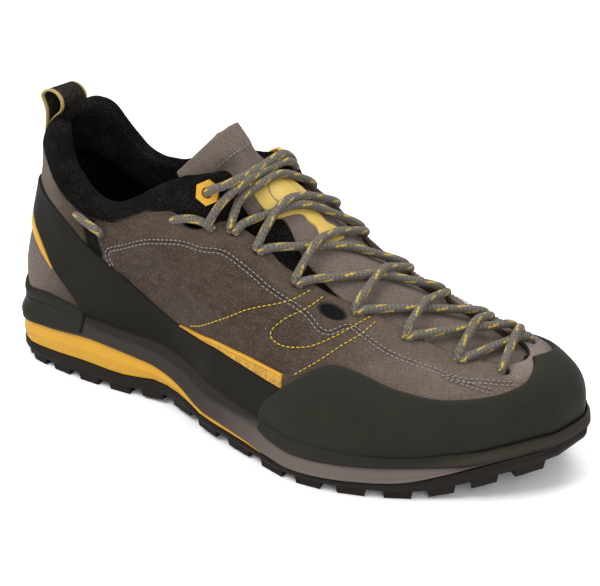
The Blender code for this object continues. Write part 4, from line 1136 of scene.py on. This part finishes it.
def make_collar():
    end = COLLAR[-1][0] / 2
    u = np.linspace(-end, end, 261)
    edge = top_edge(u)
    inward = -outward(u, edge=top_edge)
    sections = []
    for i, place in enumerate(u):
        ring = collar_ring(place)
        level = edge[i, :2] + ring[:, :1] * inward[i, :2]
        section = np.column_stack([level, edge[i, 2] + ring[:, 1]])
        close = rolled(min(i, len(u) - 1 - i) * 0.0011, 0.0035)
        centre = section.mean(axis=0)
        sections.append(centre + (section - centre) * (0.12 + 0.88 * close))
    grid = np.array(sections)
    middle = grid.mean(axis=1, keepdims=True)
    out = unit(grid - middle)
    swell = 0.00045 * soft_noise(grid, 0.028, 31) + 0.00025 * soft_noise(grid, 0.011, 32)
    rib = np.zeros(grid.shape[:2])
    rib[:, 20:24] = -0.0005
    grid = grid + out * (swell + rib)[:, :, None]
    piece = add_grid("collar_pad", grid, "knit", None, True, ground=True, slot="mesh", replaces="collar")


# Tongue

def tongue_net():
    """Rows of five points across the tongue, from the toe to its tip."""
    rows = []
    depth = -(WALL + TONGUE_GAP)
    for t in np.linspace(TONGUE_HUMP[-1][0], TONGUE_HUMP[0][0], 11):
        u = np.array([t / 2, 1 - t / 2])
        tucked = off_skin(u, TONGUE_TUCK, depth)
        throat = off_skin(u, 0.985, depth)
        middle = throat.mean(axis=0)
        middle[2] += curve(TONGUE_HUMP, t)[0, 0] * INSTEP_HEIGHT
        rows.append([tucked[0], throat[0], middle, throat[1], tucked[1]])
    for height, x, y, half, sweep, drop in TONGUE_TOP:
        k = np.array(NET_COLUMNS)
        late = np.abs(k) ** TONGUE_SQUARENESS
        rows.append(np.column_stack([
            x * LENGTH - HEEL_SEAT - sweep * COLLAR_WIDTH * late,
            (y + half * k) * COLLAR_WIDTH,
            (height - drop * late) * TONGUE_HEIGHT,
        ]))
    return np.array(rows)


def tongue_grid(table, stations, columns):
    """Places on the tongue between the edges of a table: one row a station."""
    net = tongue_net()
    along = np.column_stack([np.linspace(0, 1, len(net)), net.reshape(len(net), -1)])
    s = table[0][0] + (table[-1][0] - table[0][0]) * stations
    rows = curve(along, s).reshape(-1, 5, 3)
    edges = curve(table, s)
    grid = []
    for row, (start, end) in zip(rows, edges):
        across = np.column_stack([NET_COLUMNS, row])
        grid.append(curve(across, start + (end - start) * columns))
    return np.array(grid)


def tongue_normals(grid):
    normal = unit(np.cross(np.gradient(grid, axis=1), np.gradient(grid, axis=0)))
    return normal * np.sign(normal[:, :, 2].mean())


def tongue_panel(name, table, lift, thickness, look, slot, roll=ROLL, count=(90, 44), relief=0.0002,
                 shares=None, replaces=None):
    """A sheet on the tongue with a rolled rim."""
    grid = tongue_grid(table, spread(count[0]), spread(count[1]))
    normal = tongue_normals(grid)
    near = edge_distance(grid)
    height = lift + thickness * rolled(near, roll) + relief * soft_noise(grid, 0.022, 41)
    height = np.where(near < 1e-6, lift - RIM_DIP, height)
    places = grid + normal * height[:, :, None]
    if callable(shares):
        attributes = shares(places)
    else:
        attributes = {label: np.full(near.shape, share) for label, share in shares.items()}
    add_grid(name, places, look, attributes, ground=True, slot=slot, replaces=replaces)


def make_tongue():
    """Padded mesh body, suede cap and suede front panel."""
    whole = [(0.0, -1.0, 1.0), (1.0, -1.0, 1.0)]
    top = tongue_grid(whole, np.linspace(0, 1, 90), np.linspace(0, 1, 40))
    normal = tongue_normals(top)
    near = edge_distance(top)
    body = rolled(near, 0.0040)[:, :, None]
    swell = (0.0004 * soft_noise(top, 0.02, 51))[:, :, None]
    upper_side = top - normal * TONGUE_THICKNESS * 0.5 + normal * body * (TONGUE_THICKNESS * 0.5 + swell)
    lower_side = top - normal * TONGUE_THICKNESS * 0.5 - normal * body * TONGUE_THICKNESS * 0.45
    shell = np.concatenate([upper_side, lower_side[:, ::-1]], axis=1)
    piece = add_grid("tongue_body", shell, "knit", None, True, ground=True, slot="mesh", replaces="tongue")
    tones = {"pale": 0.50, "dark_tone_and_seam_shade": 0.0, "hole": 0.0}
    tongue_panel("tongue_front", TONGUE_FRONT, 0.0003, 0.0008, "suede", "suede", shares=tones)
    tongue_panel("tongue_cap", TONGUE_CAP, 0.0003, 0.0011, "suede", "suede", count=(40, 60), shares=tones)
    seam = tongue_grid(CAP_SEAM, np.array([0.0, 1.0]), np.linspace(0, 1, 60))
    line = resample(seam[0] + tongue_normals(seam)[0] * 0.0015, STITCH_PITCH)
    up = np.tile(tongue_normals(seam)[0].mean(axis=0), (len(line), 1))
    stitches("tongue_seam", [(line, unit(up))], "thread_grey", "suede")


def keeper_groove_shade(places):
    """Where the plain ring is pressed in, for its painted shade."""
    s, k, radius, half_width = KEEPER_RING
    around = tongue_grid([(s - 0.01, k - 0.02, k + 0.02), (s + 0.01, k - 0.02, k + 0.02)],
                         np.linspace(0, 1, 3), np.linspace(0, 1, 3))
    gap = np.abs(np.linalg.norm(places - around[1, 1], axis=2) - radius)
    return {"groove_shade": 1 - share_of_way(gap, half_width * 0.6, half_width)}


def make_keeper():
    tongue_panel("keeper_plate", KEEPER, KEEPER_LIFT, KEEPER_THICKNESS, "keeper", "yellow", roll=0.0007,
                 count=(110, 90), relief=0.00005, shares=keeper_groove_shade, replaces="tongue_keeper")


# Lacing

def ground_tree():
    points, faces, start = [], [], 0
    for piece_points, piece_faces in ground_meshes:
        points.append(piece_points)
        faces.append(piece_faces + start)
        start += len(piece_points)
    return BVHTree.FromPolygons(np.concatenate(points).tolist(), np.concatenate(faces).tolist())


def ground_height(tree, place, reach):
    """Highest ground under a place and just beside it."""
    best = -1.0
    for dx, dy in ((0, 0), (reach, 0), (-reach, 0), (0, reach), (0, -reach)):
        hit = tree.ray_cast(Vector((place[0] + dx, place[1] + dy, 0.25)), Vector((0, 0, -1)))[0]
        if hit is not None:
            best = max(best, hit.z)
    return best


def over_cords(place, cords):
    """How high the middle of a cord has to be to lie on the cords under it."""
    best = -1.0
    for cord in cords:
        gap = np.hypot(cord[:, 0] - place[0], cord[:, 1] - place[1])
        near = gap < 2 * LACE_RADIUS
        if near.any():
            rise = np.sqrt(np.maximum((2 * LACE_RADIUS) ** 2 - gap[near] ** 2, 0))
            best = max(best, (cord[near, 2] + rise).max())
    return best


def taut(share, height):
    """The string pulled tight over a profile, both ends held."""
    kept = [0]
    for i in range(1, len(share)):
        while len(kept) > 1:
            a, b = kept[-2], kept[-1]
            climb = (height[b] - height[a]) * (share[i] - share[a])
            turn = (share[b] - share[a]) * (height[i] - height[a]) - climb
            if turn < 0:
                break
            kept.pop()
        kept.append(i)
    return np.interp(share, share[kept], height[kept])


def smooth_path(path, passes):
    for _ in range(passes):
        path[1:-1] = (path[:-2] + 2 * path[1:-1] + path[2:]) / 4
    return path


def lace_span(tree, cords, start, end):
    """A span of lace between two holes, each a (place, normal)."""
    first = start[0] + start[1] * LACE_RADIUS * 0.9
    last = end[0] + end[1] * LACE_RADIUS * 0.9
    share = np.linspace(0, 1, 41)
    path = first + (last - first) * share[:, None]
    height = []
    for place in path:
        low = ground_height(tree, place, LACE_RADIUS * 0.5) + LACE_RADIUS * 0.92
        height.append(max(low, over_cords(place, cords)))
    height = np.array(height)
    height[0], height[-1] = first[2], last[2]
    path[:, 2] = taut(share, height)
    path = smooth_path(path, 4)
    cords.append(path)
    whole = np.concatenate([[start[0] - start[1] * HOLE_DIVE], path, [end[0] - end[1] * HOLE_DIVE]])
    return smooth_path(resample(whole, SPAN_PITCH), 2)


def hole_pair(number, side):
    """Two places side by side in a lace hole, the first nearer the heel."""
    lateral_t, lateral_v, medial_t, medial_v = LACE_HOLES[number]
    u, v = (lateral_t / 2, lateral_v) if side == 0 else (1 - medial_t / 2, medial_v)
    along = skin_along(u, v) * (1 if side == 0 else -1)
    place = skin(u, v)[0]
    normal = skin_normal(u, v)[0]
    return [(place + along * shift, normal) for shift in (-PAIR_SHIFT, PAIR_SHIFT)]


def lace_spans(tree):
    """All spans from the toe up: each hole feeds one span up and one down."""
    cords, spans = [], []
    for number in range(len(LACE_HOLES) - 2, 0, -1):
        spans.append(lace_span(tree, cords, hole_pair(number, 0)[1], hole_pair(number + 1, 1)[0]))
        spans.append(lace_span(tree, cords, hole_pair(number, 1)[1], hole_pair(number + 1, 0)[0]))
    spans.append(lace_span(tree, cords, hole_pair(0, 1)[1], hole_pair(1, 0)[0]))
    return spans


def traced_spans():
    """The lace as traced on the photo, and where it shows beside the medial quarter."""
    spans = []
    for places in TRACED_LACES:
        path = place_on_line(places, 200).T / 1000
        spans.append(smooth_path(resample(path, SPAN_PITCH), 2))
    for places in MEDIAL_SHORTS:
        t, v = place_on_line(places, 20)
        lift = LACE_RADIUS * np.interp(np.linspace(0, 1, 20), (0, 0.2, 0.8, 1), (-1.0, 0.5, 0.5, -1.0))
        line = [off_skin(1 - a / 2, b, c)[0] for a, b, c in zip(t, v, lift)]
        spans.append(resample(np.array(line), SPAN_PITCH))
    return spans


def frames_along(path):
    """Side and up at every place of a path."""
    way = unit(np.gradient(path, axis=0))
    side = unit(np.cross(way, (0, 0, 1.0)))
    return side, np.cross(side, way)


def braided(path):
    """Round braid along a path: its places, how yellow each one is, and how deep, as painted shade in its
    valleys.
    """
    path = resample(path, CORD_PITCH)
    side, up = frames_along(path)
    along = np.arange(len(path))[:, None] * CORD_PITCH
    around = np.arange(CORD_SIDES)[None, :] / CORD_SIDES
    right = np.sin(2 * math.pi * (along / BRAID_PITCH + around) * BRAID_STRANDS)
    left = np.sin(2 * math.pi * (along / BRAID_PITCH - around) * BRAID_STRANDS)
    relief = np.maximum(right, left)
    turned = 2 * math.pi * around
    size = LACE_RADIUS * (0.975 + 0.04 * relief)
    grid = path[:, None] + size[:, :, None] * (
        np.cos(turned)[:, :, None] * side[:, None] + np.sin(turned)[:, :, None] * up[:, None])
    fleck = np.zeros(relief.shape)
    for number in range(TRACERS):
        off = np.abs((around - along / TRACER_TURN - number / TRACERS + 0.5) % 1 - 0.5)
        dash = (along / TRACER_PITCH + 0.37 * number) % 1
        fleck = np.maximum(fleck, (off < TRACER_WIDTH) * (dash < TRACER_SHARE))
    # Painted shade in the valleys between the strands, dimming the yellow yarn there too.
    valley_shade = 1 - share_of_way(relief, -0.1, 0.75)
    return grid, fleck * (1 - 0.6 * valley_shade), valley_shade


def make_lace():
    tree = ground_tree()
    points, faces, fleck, valley_shade, start = [], [], [], [], 0
    for path in lace_spans(tree) + traced_spans():
        grid, yellow, shade_share = braided(path)
        points.append(grid.reshape(-1, 3))
        faces.append(grid_faces(len(grid), CORD_SIDES, True) + start)
        fleck.append(yellow.ravel())
        valley_shade.append(shade_share.ravel())
        start += grid.shape[0] * CORD_SIDES
    attributes = {"fleck": np.concatenate(fleck), "valley_shade": np.concatenate(valley_shade)}
    add_piece("lace_cord", np.concatenate(points), np.concatenate(faces), "cord", attributes,
              slot="lace", replaces="lace")


# Pull loop

def make_pull_loop():
    """Webbing with piped edges, folded outside the collar's back."""
    x, z = place_on_line(LOOP_PATH, 200)
    path = top_edge(0.0)[0] + LOOP_HEIGHT * np.column_stack([x, np.zeros(len(x)), z])
    path = resample(path, 0.0005)
    face = np.cross(unit(np.gradient(path, axis=0)), (0, 1.0, 0))
    turn = math.radians(LOOP_TURN)
    width = np.array([math.sin(turn), math.cos(turn), 0])
    turns = np.linspace(0, 1, 64, endpoint=False) * 2 * math.pi
    across = np.sign(np.cos(turns)) * np.abs(np.cos(turns)) ** 0.35 * LOOP_WIDTH / 2
    thick = np.sign(np.sin(turns)) * np.abs(np.sin(turns)) ** 0.6 * LOOP_THICKNESS / 2
    thick = thick * (1 + 0.35 * share_of_way(np.abs(across), LOOP_WIDTH * 0.38, LOOP_WIDTH * 0.45))
    grid = path[:, None] + across[None, :, None] * width + thick[None, :, None] * face[:, None]
    grid = grid + np.array([0, LOOP_SIDE, 0])
    edge = share_of_way(np.abs(across), LOOP_WIDTH * 0.40, LOOP_WIDTH * 0.43) * np.ones((len(path), 1))
    add_grid("pull_loop_webbing", grid, "webbing", {"edge": edge}, True, slot="mesh", replaces="pull_loop")


# Solids that stay

def soften(node, width):
    """Rounded edges on a solid that is shown as it is."""
    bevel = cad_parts[node].modifiers.new("eased_edges", "BEVEL")
    bevel.width = width
    bevel.segments = 2
    bevel.limit_method = "ANGLE"
    bevel.angle_limit = math.radians(35)


def finish_solids():
    finishes = {
        "outsole": ("outsole", 0.0004), "heel_wedge": ("wedge", 0.0004), "insole": ("knit_fine", 0.0003),
        "hex_eyelet_lateral": ("gloss_yellow", 0.0004), "hex_eyelet_medial": ("gloss_yellow", 0.0004),
    }
    for node, (look, width) in finishes.items():
        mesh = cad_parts[node].data
        for slot in range(len(mesh.materials)):
            mesh.materials[slot] = LOOKS[look]
        soften(node, width)


# Stage

def add_light(name, place, target, size, power):
    data = bpy.data.lights.new(name, "AREA")
    data.shape = "DISK"
    data.size = size
    data.energy = power
    light = bpy.data.objects.new(name, data)
    light.location = place
    light.rotation_euler = (Vector(target) - Vector(place)).to_track_quat("-Z", "Y").to_euler()
    bpy.context.scene.collection.objects.link(light)


def make_stage():
    mesh = bpy.data.meshes.new("floor")
    half = 6.0
    corners = [(-half, -half, 0), (half, -half, 0), (half, half, 0), (-half, half, 0)]
    mesh.from_pydata(corners, [], [(0, 1, 2, 3)])
    floor = bpy.data.objects.new("floor", mesh)
    floor.location.z = -0.0002
    floor_look = Look("pale_floor", 0.9, specular=0.05)
    floor_look.fill(floor_look.shader, {"Base Color": (*FLOOR, 1)})
    floor.data.materials.append(floor_look.made)
    bpy.context.scene.collection.objects.link(floor)
    world = bpy.data.worlds.new("studio")
    world.use_nodes = True
    world.node_tree.nodes["Background"].inputs["Color"].default_value = (1, 1, 1, 1)
    world.node_tree.nodes["Background"].inputs["Strength"].default_value = 0.85
    bpy.context.scene.world = world
    add_light("key", (-0.30, -0.75, 1.15), (0.10, 0, 0.04), 0.7, 15)
    add_light("fill", (1.0, -0.9, 0.75), (0.12, 0, 0.05), 0.9, 7)
    add_light("top", (0.25, 0.55, 1.2), (0.10, 0, 0.06), 0.8, 9)


def make_camera():
    turn, rise = math.radians(VIEW_TURN), math.radians(VIEW_RISE)
    back = Vector((math.sin(turn) * math.cos(rise), -math.cos(turn) * math.cos(rise), math.sin(rise)))
    data = bpy.data.cameras.new("photo_camera")
    data.lens = VIEW_LENS
    data.sensor_width = 36
    camera = bpy.data.objects.new("photo_camera", data)
    camera.location = Vector(VIEW_TARGET) + back * VIEW_DISTANCE
    camera.rotation_euler = (-back).to_track_quat("-Z", "Y").to_euler()
    bpy.context.scene.collection.objects.link(camera)
    bpy.context.scene.camera = camera
    bpy.context.scene.view_settings.view_transform = "Standard"


LOOKS = {
    "suede": suede_look(),
    "rand": rubber_look("rand_rubber", RUBBER),
    "strap": rubber_look("strap_rubber", STRAP_BLACK),
    "outsole": rubber_look("outsole_rubber", SOLE_BLACK, mottle=0.5, roughness=0.68),
    "foam": foam_look(),
    "yellow": yellow_look("yellow_piping", 0.45),
    "wedge": yellow_look("yellow_rubber", 0.6),
    "gloss_yellow": yellow_look("yellow_plastic", 0.32, coat=0.2),
    "weave": woven_look(),
    "knit": knit_look("collar_knit", 1150, KNIT_PALE, 0.8),
    "knit_fine": knit_look("lining_mesh", 900, (0.006, 0.006, 0.006), 0.6),
    "cord": cord_look(),
    "webbing": webbing_look(),
    "keeper": keeper_look(),
    "thread_grey": thread_look("grey_thread", THREAD_GREY, 0.7),
    "thread_yellow": thread_look("yellow_thread", THREAD_YELLOW, 0.6),
}

for make in (make_camera, make_stage, make_upper, make_lining, make_midsole_side, make_rubber, make_trim,
             make_collar, make_tongue, make_keeper, make_seams, make_lace, make_pull_loop, finish_solids):
    make()
